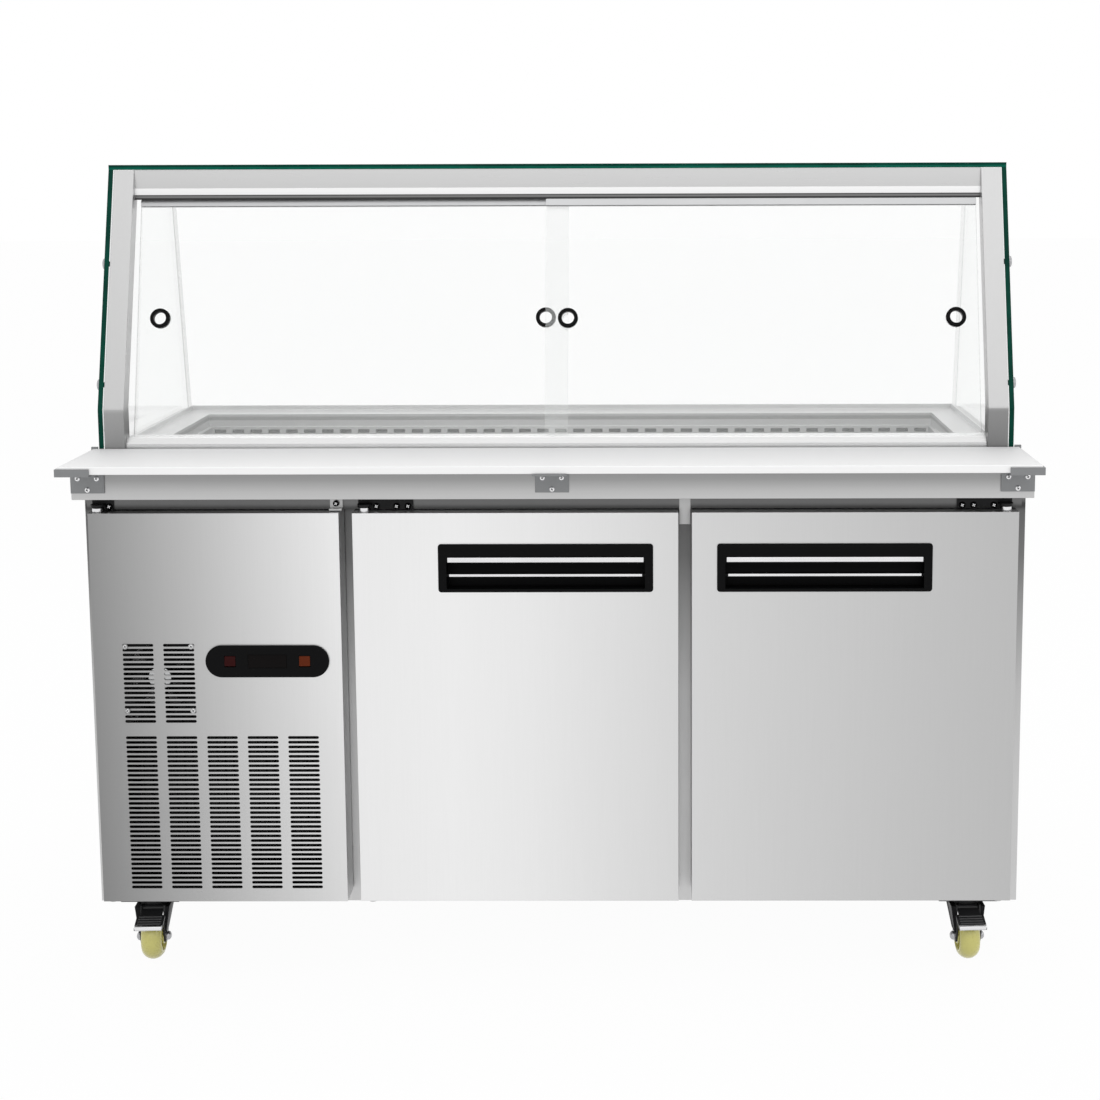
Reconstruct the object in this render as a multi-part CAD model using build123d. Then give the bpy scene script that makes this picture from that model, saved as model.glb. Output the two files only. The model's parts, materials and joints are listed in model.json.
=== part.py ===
from build123d import *
import math
import os

# A refrigerated salad bar: a stainless counter on castors with a slanted glass canopy.
# Millimetres, +Z up, +X to the operator's right, +Y towards the customer side.
# The origin lies on the floor under the middle of the outline.

# Outline
body_width = 1510.0
overall_depth = 800.0
overall_height = 1310.0
base_height = 104.0
worktop_top = 841.0
half_width = body_width / 2
front_y = -overall_depth / 2
back_y = overall_depth / 2

# Fits
running_fit = 0.05
slide_gap = 0.3

# Doors and the service panel in front of the frame
board_overhang = 90.0
door_y = front_y + board_overhang
door_thickness = 50.0
service_width = 396.0
front_margin = 21.0
front_gap = 21.0
door_bottom_rise = 22.0
door_top_drop = 76.0
sheet = 1.5
fold_radius = 1.2
liner_flange = 2.0
seal_depth = 7.7
seal_width = 9.0
seal_inset = 19.0
service_depth = 54.0
door_width = (body_width - 2 * front_margin - 2 * front_gap - service_width) / 2
door_bottom = base_height + door_bottom_rise
door_top = worktop_top - door_top_drop
right_door_x = (half_width - front_margin - door_width, half_width - front_margin)
left_door_x = (right_door_x[0] - front_gap - door_width, right_door_x[0] - front_gap)
service_x = (front_margin - half_width, left_door_x[0] - front_gap)

# Carcass
frame_depth = 40.0
top_rail_setback = 28.0
top_rail_gap = 1.5
top_rail_inset = 12.0
left_wall = 20.0
insulated_wall = 40.0
base_thickness = 45.0
worktop_thickness = 12.0
door_lap = 29.5
rail_lap = 30.0
service_lap = 12.0
frame_y = door_y + door_thickness + seal_depth + slide_gap
frame_back_y = frame_y + frame_depth
top_rail_y = door_y + top_rail_setback
top_rail_z = door_top + top_rail_gap
rear_wall_y = back_y - insulated_wall
deck_z = worktop_top - worktop_thickness
floor_z = base_height + base_thickness
partition_x = (service_x[1] + left_door_x[0]) / 2
inner_left_x = left_wall - half_width
inner_right_x = half_width - insulated_wall
bay_right_x = partition_x - insulated_wall / 2
chamber_left_x = partition_x + insulated_wall / 2
opening_z = (door_bottom + rail_lap, door_top - rail_lap)

# Rear louvres of the machine bay
louvre_size = (220.0, 8.0)
louvre_rows = 12
louvre_pitch = 24.0
louvre_rise = 91.0

# Worktop, its apron and the upstand inside the canopy
apron_reach = 10.0
apron_thickness = 12.0
apron_height = 52.5
upstand_height = 9.0
upstand_thickness = 3.0
upstand_inset = 21.0
apron_y = door_y - apron_reach

# Pan well
well_side_ledge = 70.0
well_front_offset = 155.0
well_back_ledge = 92.0
well_depth = 181.0
well_floor = 30.0
pan_step_drop = 24.0
pan_step = 8.0
air_slot = (22.0, 7.0)
air_slot_pitch = 34.0
air_slot_drop = 32.0
air_slot_depth = 15.0
well_half_x = half_width - well_side_ledge
well_y = (door_y + well_front_offset, back_y - well_back_ledge)
well_bottom_z = worktop_top - well_depth - well_floor

# Hinge brackets
hinge_pin_radius = 5.0
hinge_pin_reach = 15.0
hinge_inset = 18.0
service_hinge_inset = 12.0
hinge_setback = 15.0
hinge_top_gap = 8.0
hinge_bottom_gap = 1.0
hinge_plate_thickness = 4.0
top_hinge_arm = (11.0, 4.0)
bottom_hinge_arm = (7.0, 3.0)
hinge_plate_height = 15.0
hinge_plate_length = 76.0
service_hinge_length = 22.0

# Catch at the service panel's free top corner
catch_width = 20.0
catch_inset = 7.0
catch_thickness = 3.0
catch_reach = 14.0
catch_plate_height = 18.0
catch_screw_rise = 10.0
catch_screw_radius = 4.0
catch_screw_height = 3.0

# Recessed handles
handle_size = (340.0, 77.5)
handle_top_drop = 50.0
handle_edge_gap = 40.0
handle_corner = 5.0
handle_bezel = 2.0
handle_bezel_lap = 2.5
handle_depth = 28.0
handle_wall = 3.0
grip_slots_z = ((5.0, 25.5), (29.5, 47.0))
grip_hollow_z = (5.0, 64.0)
grip_slot_margin = 13.0
grip_plate = 10.0
upper_bar_margin = 15.0
upper_bar_rise = 48.5
lower_bar_margin = 17.5
lower_bar_rise = 25.5
grip_slot_length = handle_size[0] - 2 * grip_slot_margin
upper_bar = (handle_size[0] - 2 * upper_bar_margin, 8.0, 2.5)
lower_bar = (handle_size[0] - 2 * lower_bar_margin, 4.0, 1.5)

# Slots of the service panel
vent_margins = (46.55, 39.95)
vent_column_gap = 15.5
vent_slot_height = 4.7
vent_pitch = 7.8
vent_columns = 5
vent_rows = 33
vent_first_z = 24.5
upper_vent_columns = 2
upper_vent_rows = 17
upper_vent_gap = 27.0
vent_fan_lift = 8.0
vent_slot_length = (service_width - sum(vent_margins) - (vent_columns - 1) * vent_column_gap) / vent_columns
vent_column_pitch = vent_slot_length + vent_column_gap
vent_first_x = vent_margins[0] + vent_slot_length / 2

# Control fascia and its rockers
fascia_size = (197.0, 52.0)
fascia_proud = 3.0
fascia_right_gap = 20.0
fascia_rise = 400.0
fascia_box = (160.0, 36.0, 32.0)
rocker_size = 17.4
rocker_gap = 0.6
rocker_spread = 119.0
rocker_front = 5.0
rocker_back = 6.0
rocker_tilt = 8.0
rocker_pin_radius = 1.5
rocker_pin_length = 2.0
rocker_sink = 4.0
rocker_pocket_depth = 14.0
display_size = (62.0, 22.0)
display_depth = 1.2

# Fans: width, depth, bore radius, motor radius, motor length, shaft radius
vent_fan = (120.0, 38.0, 57.0, 20.0, 14.0, 3.0)
condenser_fan = (230.0, 60.0, 105.0, 38.0, 30.0, 5.0)
evaporator_fan = (160.0, 45.0, 72.0, 26.0, 20.0, 4.0)
fan_strut = (6.0, 5.0)
fan_tip_gap = 3.0
fan_face_gap = 2.0
fan_blades = 7
fan_blade_thickness = 2.0
fan_blade_pitch = 35.0
fan_hub_cap = 2.5
fan_screw_pitch = 105.0
fan_screw = (4.2, 2.2)

# Cooling machinery
condenser_size = (300.0, 50.0, 250.0)
condenser_gap = 22.0
condenser_side_gap = 35.0
fin_slot = (5.0, 3.0)
fin_count = 22
evaporator_size = (50.0, 300.0, 200.0)
evaporator_top_gap = 30.0
evaporator_back_gap = 40.0
compressor_radius = 85.0
compressor_height = 180.0
compressor_dome = 25.0
compressor_foot = (210.0, 180.0, 6.0)
compressor_gaps = (175.0, 190.0)

# Wire shelves on their rails
shelf_rise = 211.0
rail_size = (14.0, 12.0)
shelf_rod = 4.0
shelf_wire = 2.0
shelf_wire_count = 18
shelf_side_gap = 4.0
shelf_front_gap = 25.0

# Cutting board and its brackets
board_thickness = 12.0
board_round = 1.5
bracket_sheet = 3.0
bracket_width = 53.0
bracket_drop = 41.5
bracket_lip_height = 9.0
hook_width = 11.0
hook_height = 15.0
hook_setback = 102.3
screw_head = (4.5, 2.5)
screw_socket = (1.8, 1.2)
screw_spread = 30.0
screw_drops = (18.0, 36.0)

# Canopy
glass_thickness = 8.0
glass_inset = 12.0
post_glass_gap = 1.0
post_width = 33.0
post_depth = 30.0
post_offset = 106.0
stub_height = 75.0
post_lean = 116.0
customer_foot_gap = 14.0
customer_lean = 76.0
beam_height = 31.0
beam_lip = (3.0, 11.0)
beam_track_height = 7.5
beam_depth = 34.0
beam_setback = 2.0
bottom_track_depth = 40.0
bottom_track_offset = 112.0
bottom_track_height = 28.0
bottom_track_shoulder = 18.0
bottom_track_bevel = 6.0
standoff_rises = (113.0, 307.0)
standoff_cap = (9.5, 6.0)
standoff_stud = 4.0
standoff_hole_gap = 0.3
glass_outer_x = half_width - glass_inset
post_x = (glass_outer_x - glass_thickness - post_glass_gap - post_width,
          glass_outer_x - glass_thickness - post_glass_gap)
post_y = door_y + post_offset
canopy_z = overall_height - glass_thickness
stub_top = worktop_top + stub_height
beam_z = canopy_z - beam_height

# Sliding panes
pane_lap = 37.0
pane_thickness = 5.0
pane_spacing = 12.0
pane_lean = 14.7
pane_offset = 123.4
pane_groove = 8.0
pane_end_gap = 7.0
pane_width = post_x[0] - pane_end_gap + pane_lap / 2
channel_thickness = 9.0
channel_height = 10.0
channel_grip = 8.0
channel_gap = 1.0
fin_thickness = 3.0
fin_height = 14.0
ring_radius = 16.5
ring_bore = 10.0
ring_sleeve = 12.8
ring_hole = 13.0
ring_flange = 2.2
ring_edge = 37.0
ring_rise = 217.0

# Castors
caster_inset = 79.0
caster_front_offset = 100.0
caster_back_offset = 60.0
caster_turn = 3.0
wheel_radius = 37.5
wheel_width = 34.0
wheel_round = 13.0
wheel_hub = (13.0, 17.7)
wheel_web = (22.0, 9.0)
axle_radius = 4.0
axle_head = (7.0, 4.0)
trail = 28.0
caster_plate = (96.0, 82.0, 3.0)
kingpin_radius = 6.0
kingpin_head = (9.0, 2.5)
crown_radius = 29.0
crown_height = 9.0
bridge_height = 7.0
bridge_half = 22.0
fork_gap = 36.0
fork_wall = 3.0
fork_arm_top = (16.0, -34.0)
axle_boss_half = 15.0
axle_boss_foot = 8.5
axle_boss_rise = 8.0
pedal_pivot = (27.0, 86.0)
pedal_pin_radius = 2.5
pedal_tube_radius = 5.0
pedal_tip = (74.0, 67.0)
pedal_neck = 46.0
pedal_thickness = 4.0
pedal_half_width = 23.0
caster_x = half_width - caster_inset
crown_top = base_height - caster_plate[2] - slide_gap
bridge_top = crown_top - crown_height
bridge_bottom = bridge_top - bridge_height


def block(x, y, z):
    """A box between two corners, given as three (low, high) pairs."""
    size = Box(x[1] - x[0], y[1] - y[0], z[1] - z[0])
    return Pos((x[0] + x[1]) / 2, (y[0] + y[1]) / 2, (z[0] + z[1]) / 2) * size


def bar_along_x(outline, x):
    """A (y, z) outline stretched between two x places."""
    side = Plane(origin=(x[0], 0, 0), x_dir=(0, 1, 0), z_dir=(1, 0, 0))
    return extrude(side * make_face(Polyline(*outline, close=True)), amount=x[1] - x[0])


def rod_x(radius, x, y, z):
    """A round bar along X between two x places."""
    return Pos((x[0] + x[1]) / 2, y, z) * Rot(0, 90, 0) * Cylinder(radius, x[1] - x[0])


def rod_y(radius, x, y, z):
    """A round bar along Y between two y places."""
    return Pos(x, (y[0] + y[1]) / 2, z) * Rot(90, 0, 0) * Cylinder(radius, y[1] - y[0])


def rod_z(radius, x, y, z):
    """A round bar along Z between two z places."""
    return Pos(x, y, (z[0] + z[1]) / 2) * Cylinder(radius, z[1] - z[0])


def front_plate(sketch, y):
    """A sketch in (x, z), facing the operator, stretched between two y places."""
    facing = Plane(origin=(0, y[1], 0), x_dir=(1, 0, 0), z_dir=(0, -1, 0))
    return extrude(facing * sketch, amount=y[1] - y[0])


def span(middle, half):
    """The (low, high) pair around a middle."""
    return (middle - half, middle + half)


# Carcass

def left_side_panel():
    return block((-half_width, inner_left_x), (frame_back_y, rear_wall_y), (floor_z, deck_z))


def right_side_panel():
    return block((inner_right_x, half_width), (frame_back_y, rear_wall_y), (floor_z, deck_z))


def base_panel():
    return block((-half_width, half_width), (frame_back_y, back_y), (base_height, floor_z))


def rear_panel():
    wall = block((-half_width, half_width), (rear_wall_y, back_y), (floor_z, deck_z))
    bay_middle = (inner_left_x + bay_right_x) / 2
    slot = SlotOverall(*louvre_size)
    first_z = floor_z + louvre_rise
    rows = [Pos(bay_middle, first_z + row * louvre_pitch) * slot for row in range(louvre_rows)]
    return wall - front_plate(Sketch() + rows, (rear_wall_y, back_y))


def bay_partition():
    return block((bay_right_x, chamber_left_x), (frame_back_y, rear_wall_y), (floor_z, well_bottom_z))


def front_frame():
    y = (frame_y, frame_back_y)
    frame = block((-half_width, half_width), y, (base_height, deck_z))
    frame -= block((service_x[0] + service_lap, service_x[1] - door_lap), y, opening_z)
    for door in (left_door_x, right_door_x):
        frame -= block((door[0] + door_lap, door[1] - door_lap), y, opening_z)
    top_rail = block(span(0, half_width - top_rail_inset), (top_rail_y, frame_y), (top_rail_z, deck_z))
    return Compound([frame, top_rail])


def worktop():
    top = block((-half_width, half_width), (apron_y, back_y), (deck_z, worktop_top))
    apron = block((-half_width, half_width), (apron_y, apron_y + apron_thickness),
                  (worktop_top - apron_height, deck_z))
    well = block((-well_half_x, well_half_x), well_y, (deck_z, worktop_top))
    rim_x = half_width - upstand_inset
    rim_back = back_y - customer_foot_gap - 2 * glass_thickness
    rim_z = (worktop_top, worktop_top + upstand_height)
    rim_y = (well_y[0], rim_back)
    rim = block((-rim_x, rim_x), rim_y, rim_z)
    rim -= block((upstand_thickness - rim_x, rim_x - upstand_thickness),
                 (well_y[0], rim_back - upstand_thickness), rim_z)
    return top + apron + rim - well


def pan_well():
    tub = block((inner_left_x, inner_right_x), (frame_back_y, rear_wall_y), (well_bottom_z, deck_z))
    step_z = worktop_top - pan_step_drop
    low_y = (well_y[0] + pan_step, well_y[1] - pan_step)
    low_x = well_half_x - pan_step
    tub -= block((-well_half_x, well_half_x), well_y, (step_z, deck_z))
    tub -= block((-low_x, low_x), low_y, (well_bottom_z + well_floor, step_z))
    slots = int((2 * low_x - air_slot[0]) // air_slot_pitch) + 1
    first = -(slots - 1) * air_slot_pitch / 2
    slot = Rectangle(*air_slot)
    row_z = worktop_top - air_slot_drop
    row = [Pos(first + index * air_slot_pitch, row_z) * slot for index in range(slots)]
    return tub - front_plate(Sketch() + row, (low_y[1], low_y[1] + air_slot_depth))


# Doors

def door_pin(door_x, hinge_side, inset):
    """Where a door's pivot line stands in plan."""
    edge = door_x[0] if hinge_side < 0 else door_x[1]
    return (edge - hinge_side * inset, door_y + hinge_setback)


def pin_bores(place):
    """The two bores that the pivot pins run in, at a door's top and bottom."""
    radius = hinge_pin_radius + running_fit
    depth = hinge_pin_reach + liner_flange
    return [rod_z(radius, *place, (door_top - depth, door_top)),
            rod_z(radius, *place, (door_bottom, door_bottom + depth))]


def handle_middle(door_x, hinge_side):
    """The middle of a door's handle, in (x, z)."""
    free_edge = door_x[1] if hinge_side < 0 else door_x[0]
    middle_x = free_edge + hinge_side * (handle_edge_gap + handle_size[0] / 2)
    return (middle_x, door_top - handle_top_drop - handle_size[1] / 2)


def handle_cut(door_x, hinge_side):
    """The pocket that the handle housing sits in."""
    lap = 2 * handle_bezel_lap - 2 * slide_gap
    hole = Rectangle(handle_size[0] - lap, handle_size[1] - lap)
    place = Pos(*handle_middle(door_x, hinge_side))
    return front_plate(place * hole, (door_y, door_y + handle_depth + slide_gap))


def door_skin(door_x, hinge_side):
    outer_y = (door_y, door_y + door_thickness - liner_flange)
    skin = block(door_x, outer_y, (door_bottom, door_top))
    face = skin.faces().sort_by(Axis.Y)[0]
    skin = fillet(face.edges(), fold_radius)
    skin -= block((door_x[0] + sheet, door_x[1] - sheet), (door_y + sheet, outer_y[1]),
                  (door_bottom + sheet, door_top - sheet))
    skin -= handle_cut(door_x, hinge_side)
    return skin - pin_bores(door_pin(door_x, hinge_side, hinge_inset))


def door_liner(door_x, hinge_side):
    back = door_y + door_thickness
    foam = block((door_x[0] + sheet, door_x[1] - sheet), (door_y + sheet, back - liner_flange),
                 (door_bottom + sheet, door_top - sheet))
    flange = block(door_x, (back - liner_flange, back), (door_bottom, door_top))
    liner = foam + flange - handle_cut(door_x, hinge_side)
    return liner - pin_bores(door_pin(door_x, hinge_side, hinge_inset))


def door_gasket(door_x):
    y = (door_y + door_thickness, door_y + door_thickness + seal_depth)
    outer_x = (door_x[0] + seal_inset, door_x[1] - seal_inset)
    outer_z = (door_bottom + seal_inset, door_top - seal_inset)
    inner_x = (outer_x[0] + seal_width, outer_x[1] - seal_width)
    inner_z = (outer_z[0] + seal_width, outer_z[1] - seal_width)
    return block(outer_x, y, outer_z) - block(inner_x, y, inner_z)


def handle_housing(door_x, hinge_side):
    middle = handle_middle(door_x, hinge_side)
    bottom = middle[1] - handle_size[1] / 2
    bezel = RectangleRounded(*handle_size, handle_corner)
    body = Rectangle(handle_size[0] - 2 * handle_bezel_lap, handle_size[1] - 2 * handle_bezel_lap)
    housing = front_plate(Pos(*middle) * bezel, (door_y - handle_bezel, door_y))
    housing += front_plate(Pos(*middle) * body, (door_y, door_y + handle_depth))
    slot_x = span(middle[0], grip_slot_length / 2)
    hollow_y = (door_y - handle_bezel + grip_plate, door_y + handle_depth - handle_wall)
    for slot in grip_slots_z:
        housing -= block(slot_x, (door_y - handle_bezel, hollow_y[0]), (bottom + slot[0], bottom + slot[1]))
    return housing - block(slot_x, hollow_y, (bottom + grip_hollow_z[0], bottom + grip_hollow_z[1]))


def handle_trim(door_x, hinge_side):
    middle = handle_middle(door_x, hinge_side)
    bottom = middle[1] - handle_size[1] / 2
    face = door_y - handle_bezel
    bars = []
    for bar, rise in ((upper_bar, upper_bar_rise), (lower_bar, lower_bar_rise)):
        bars.append(block(span(middle[0], bar[0] / 2), (face - bar[2], face),
                          (bottom + rise, bottom + rise + bar[1])))
    return Compound(bars)


def hinge_bracket(place, toward, length, at_top):
    """A bracket on the top rail or the frame's face whose arm carries one pivot pin."""
    side = 1 if at_top else -1
    edge = door_top if at_top else door_bottom
    back_y = top_rail_y if at_top else frame_y
    near = edge + side * (hinge_top_gap if at_top else hinge_bottom_gap)
    plate_start = top_rail_z if at_top else near
    arm_half, arm_thickness = top_hinge_arm if at_top else bottom_hinge_arm
    arm_z = sorted((near, near + side * arm_thickness))
    plate_z = sorted((plate_start, near + side * hinge_plate_height))
    pin_z = sorted((near, edge - side * hinge_pin_reach))
    plate_x = sorted((place[0] - toward * arm_half, place[0] + toward * length))
    arm = block(span(place[0], arm_half), (place[1], back_y), arm_z)
    arm += rod_z(arm_half, *place, arm_z)
    plate = block(plate_x, (back_y - hinge_plate_thickness, back_y), plate_z)
    return arm + plate + rod_z(hinge_pin_radius, *place, pin_z)


def hinge_brackets():
    service_pin = door_pin(service_x, -1, service_hinge_inset)
    left_pin = door_pin(left_door_x, -1, hinge_inset)
    right_pin = door_pin(right_door_x, 1, hinge_inset)
    brackets = []
    for at_top in (True, False):
        brackets.append(hinge_bracket(service_pin, 1, service_hinge_length, at_top))
        brackets.append(hinge_bracket(left_pin, 1, hinge_plate_length, at_top))
        brackets.append(hinge_bracket(right_pin, -1, hinge_plate_length, at_top))
    return Compound(brackets)


# Service panel with the vent fan and the controls

def vent_columns_x():
    return [service_x[0] + vent_first_x + column * vent_column_pitch for column in range(vent_columns)]


def fan_middle():
    """The vent fan's middle behind the upper slots, in (x, z)."""
    columns = vent_columns_x()[:upper_vent_columns]
    first_z = door_bottom + vent_first_z + (vent_rows - 1) * vent_pitch + upper_vent_gap
    rows_middle = first_z + (upper_vent_rows - 1) * vent_pitch / 2
    return (sum(columns) / len(columns), rows_middle + vent_fan_lift)


def vent_slots():
    slot = SlotOverall(vent_slot_length, vent_slot_height)
    lower_z = door_bottom + vent_first_z
    upper_z = lower_z + (vent_rows - 1) * vent_pitch + upper_vent_gap
    places = []
    for column, x in enumerate(vent_columns_x()):
        places += [(x, lower_z + row * vent_pitch) for row in range(vent_rows)]
        if column < upper_vent_columns:
            places += [(x, upper_z + row * vent_pitch) for row in range(upper_vent_rows)]
    return Sketch() + [Pos(*place) * slot for place in places]


def fascia_middle():
    return (service_x[1] - fascia_right_gap - fascia_size[0] / 2, door_bottom + fascia_rise)


def service_panel():
    """The slotted face, its four turned-in flanges and the vent fan's screws."""
    face_y = (door_y, door_y + sheet)
    flange_y = (face_y[1], door_y + service_depth)
    z = (door_bottom, door_top)
    hole = Rectangle(fascia_box[0] + 2 * slide_gap, fascia_box[1] + 2 * slide_gap)
    cuts = vent_slots() + Pos(*fascia_middle()) * hole
    face = block(service_x, face_y, z) - front_plate(cuts, face_y)
    flanges = [block((service_x[0], service_x[0] + sheet), flange_y, z),
               block((service_x[1] - sheet, service_x[1]), flange_y, z)]
    inner_x = (service_x[0] + sheet, service_x[1] - sheet)
    bores = pin_bores(door_pin(service_x, -1, service_hinge_inset))
    for flange_z in ((z[0], z[0] + sheet), (z[1] - sheet, z[1])):
        flanges.append((block(inner_x, flange_y, flange_z) - bores).solid())
    middle = fan_middle()
    half = fan_screw_pitch / 2
    screws = []
    for x in span(middle[0], half):
        screws += [rod_y(fan_screw[0], x, (door_y - fan_screw[1], door_y), z) for z in span(middle[1], half)]
    return Compound([face.solid(), *flanges, *screws])


def fan_frame(fan):
    """A square fan frame with its motor on four struts. The shaft points along +Z."""
    width, depth, bore, motor, motor_length, shaft = fan
    z = (0, depth)
    frame = block(span(0, width / 2), span(0, width / 2), z) - rod_z(bore, 0, 0, z)
    half_strut = fan_strut[0] / 2
    reach = bore + (width / 2 - bore) / 2
    struts = block(span(0, reach), span(0, half_strut), (0, fan_strut[1]))
    struts += block(span(0, half_strut), span(0, reach), (0, fan_strut[1]))
    drive = rod_z(motor, 0, 0, (0, motor_length))
    drive += rod_z(shaft, 0, 0, (0, depth - fan_face_gap - 2 * fan_hub_cap))
    return frame + struts + drive


def fan_rotor(fan):
    """The hub and blades that turn on a fan's shaft."""
    width, depth, bore, motor, motor_length, shaft = fan
    z = (motor_length + fan_face_gap, depth - fan_face_gap)
    tip = bore - fan_tip_gap
    middle_z = (z[0] + z[1]) / 2
    chord = (z[1] - z[0]) * math.sqrt(2)
    blade_x = (motor / 2, tip - fan_blade_thickness)
    blade = block(blade_x, span(0, chord / 2), span(0, fan_blade_thickness / 2))
    blade = Pos(0, 0, middle_z) * Rot(fan_blade_pitch, 0, 0) * blade
    rotor = rod_z(motor, 0, 0, z)
    for index in range(fan_blades):
        rotor += Rot(0, 0, index * 360 / fan_blades) * blade
    rotor &= rod_z(tip, 0, 0, z)
    return rotor - rod_z(shaft + running_fit, 0, 0, (z[0], z[1] - fan_hub_cap))


def vent_fan_place():
    middle = fan_middle()
    return Pos(middle[0], door_y + sheet + vent_fan[1], middle[1]) * Rot(90, 0, 0)


def condenser_middle_x():
    return inner_left_x + condenser_side_gap + condenser_size[0] / 2


def condenser_y():
    start = frame_back_y + condenser_gap
    return (start, start + condenser_size[1])


def condenser_fan_place():
    middle_z = floor_z + condenser_size[2] / 2
    return Pos(condenser_middle_x(), condenser_y()[1] + condenser_fan[1], middle_z) * Rot(90, 0, 0)


def evaporator_box():
    x = (chamber_left_x, chamber_left_x + evaporator_size[0])
    back = rear_wall_y - evaporator_back_gap
    top = well_bottom_z - evaporator_top_gap
    return x, (back - evaporator_size[1], back), (top - evaporator_size[2], top)


def evaporator_fan_place():
    x, y, z = evaporator_box()
    return Pos(x[1], (y[0] + y[1]) / 2, (z[0] + z[1]) / 2) * Rot(0, 90, 0)


def control_fascia():
    x, z = fascia_middle()
    face_y = door_y - fascia_proud
    fascia = front_plate(Pos(x, z) * SlotOverall(*fascia_size), (face_y, door_y))
    fascia += block(span(x, fascia_box[0] / 2), (door_y, door_y + fascia_box[2]), span(z, fascia_box[1] / 2))
    pocket_half = rocker_size / 2 + rocker_gap
    pin_bore = rocker_pin_radius + running_fit
    pin_y = face_y + rocker_sink
    for rocker_x in span(x, rocker_spread / 2):
        fascia -= block(span(rocker_x, rocker_size / 2 + slide_gap), (face_y, face_y + rocker_pocket_depth),
                        span(z, pocket_half))
        fascia -= rod_x(pin_bore, span(rocker_x, rocker_size / 2 + rocker_pin_length + slide_gap), pin_y, z)
    return fascia - block(span(x, display_size[0] / 2), (face_y, face_y + display_depth),
                          span(z, display_size[1] / 2))


def rocker(side):
    """A rocker on its cross pin, resting with its upper edge pressed in."""
    x, z = fascia_middle()
    middle_x = x + side * rocker_spread / 2
    pin_y = door_y - fascia_proud + rocker_sink
    half = rocker_size / 2
    cap = block(span(0, half), (-rocker_front, rocker_back), span(0, half - rocker_gap))
    cap += rod_x(rocker_pin_radius, span(0, half + rocker_pin_length), 0, 0)
    return Pos(middle_x, pin_y, z) * Rot(-rocker_tilt, 0, 0) * cap


def panel_catch():
    x = (service_x[1] - catch_inset - catch_width / 2, service_x[1] - catch_inset + catch_width / 2)
    face_y = top_rail_y - catch_thickness
    foot = block(x, (top_rail_y - catch_reach, top_rail_y), (top_rail_z, top_rail_z + catch_thickness))
    plate = block(x, (face_y, top_rail_y), (top_rail_z, top_rail_z + catch_plate_height))
    screw_y = (face_y - catch_screw_height, face_y)
    screw_z = top_rail_z + catch_screw_rise
    return foot + plate + rod_y(catch_screw_radius, (x[0] + x[1]) / 2, screw_y, screw_z)


# Cooling machinery and shelves

def condenser():
    """The finned condenser block on the bay's floor with its fan frame behind it."""
    x = span(condenser_middle_x(), condenser_size[0] / 2)
    y = condenser_y()
    z = (floor_z, floor_z + condenser_size[2])
    coil = block(x, y, z)
    pitch = condenser_size[0] / fin_count
    for index in range(fin_count):
        slot_x = x[0] + (index + 0.5) * pitch
        coil -= block(span(slot_x, fin_slot[1] / 2), (y[0], y[0] + fin_slot[0]), z)
    return Compound([coil.solid(), (condenser_fan_place() * fan_frame(condenser_fan)).solid()])


def evaporator():
    """The finned evaporator on the partition with its fan frame on the chamber side."""
    x, y, z = evaporator_box()
    coil = block(x, y, z)
    pitch = evaporator_size[1] / fin_count
    for index in range(fin_count):
        slot_y = y[0] + (index + 0.5) * pitch
        coil -= block((x[0] + fin_slot[0], x[1] - fin_slot[0]), span(slot_y, fin_slot[1] / 2),
                      (z[0], z[0] + evaporator_size[2] / 2))
    return Compound([coil.solid(), (evaporator_fan_place() * fan_frame(evaporator_fan)).solid()])


def compressor():
    x = inner_left_x + compressor_gaps[0]
    y = rear_wall_y - compressor_gaps[1]
    foot = block(span(x, compressor_foot[0] / 2), span(y, compressor_foot[1] / 2),
                 (floor_z, floor_z + compressor_foot[2]))
    shell_z = (floor_z + compressor_foot[2], floor_z + compressor_foot[2] + compressor_height)
    shell = rod_z(compressor_radius, x, y, shell_z)
    shell = fillet(shell.faces().sort_by(Axis.Z)[-1].edges(), compressor_dome)
    return foot + shell


def shelf_rail_spans():
    """The x spans of the three rails: at the partition, behind the middle mullion, at the right wall."""
    mullion_x = (left_door_x[1] + right_door_x[0]) / 2
    return [(chamber_left_x, chamber_left_x + rail_size[0]), span(mullion_x, rail_size[0]),
            (inner_right_x - rail_size[0], inner_right_x)]


def wire_shelf(x, y, z):
    """A shelf of front-to-back wires on two cross rods inside a border."""
    shelf = Part()
    for rod_at in (y[0] + shelf_rod, (y[0] + y[1]) / 2, y[1] - shelf_rod):
        shelf += block(x, span(rod_at, shelf_rod), (z, z + 2 * shelf_rod))
    for rod_at in (x[0] + shelf_rod, x[1] - shelf_rod):
        shelf += block(span(rod_at, shelf_rod), y, (z, z + 2 * shelf_rod))
    pitch = (x[1] - x[0]) / (shelf_wire_count + 1)
    for index in range(1, shelf_wire_count + 1):
        wire_x = span(x[0] + index * pitch, shelf_wire)
        shelf += block(wire_x, y, (z + 2 * shelf_rod - shelf_wire, z + 2 * shelf_rod + shelf_wire))
    return shelf


def shelves():
    z = floor_z + shelf_rise
    rails = shelf_rail_spans()
    solids = [block(x, (frame_back_y, rear_wall_y), (z, z + rail_size[1])) for x in rails]
    middle = (rails[1][0] + rails[1][1]) / 2
    y = (frame_back_y + shelf_front_gap, rear_wall_y - shelf_front_gap)
    shelf_z = z + rail_size[1]
    solids.append(wire_shelf((chamber_left_x + shelf_side_gap, middle - shelf_side_gap), y, shelf_z))
    solids.append(wire_shelf((middle + shelf_side_gap, inner_right_x - shelf_side_gap), y, shelf_z))
    return Compound([solid.solid() for solid in solids])


# Cutting board

def board_y():
    return (front_y + bracket_sheet + slide_gap, door_y + hook_setback - slide_gap)


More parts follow.
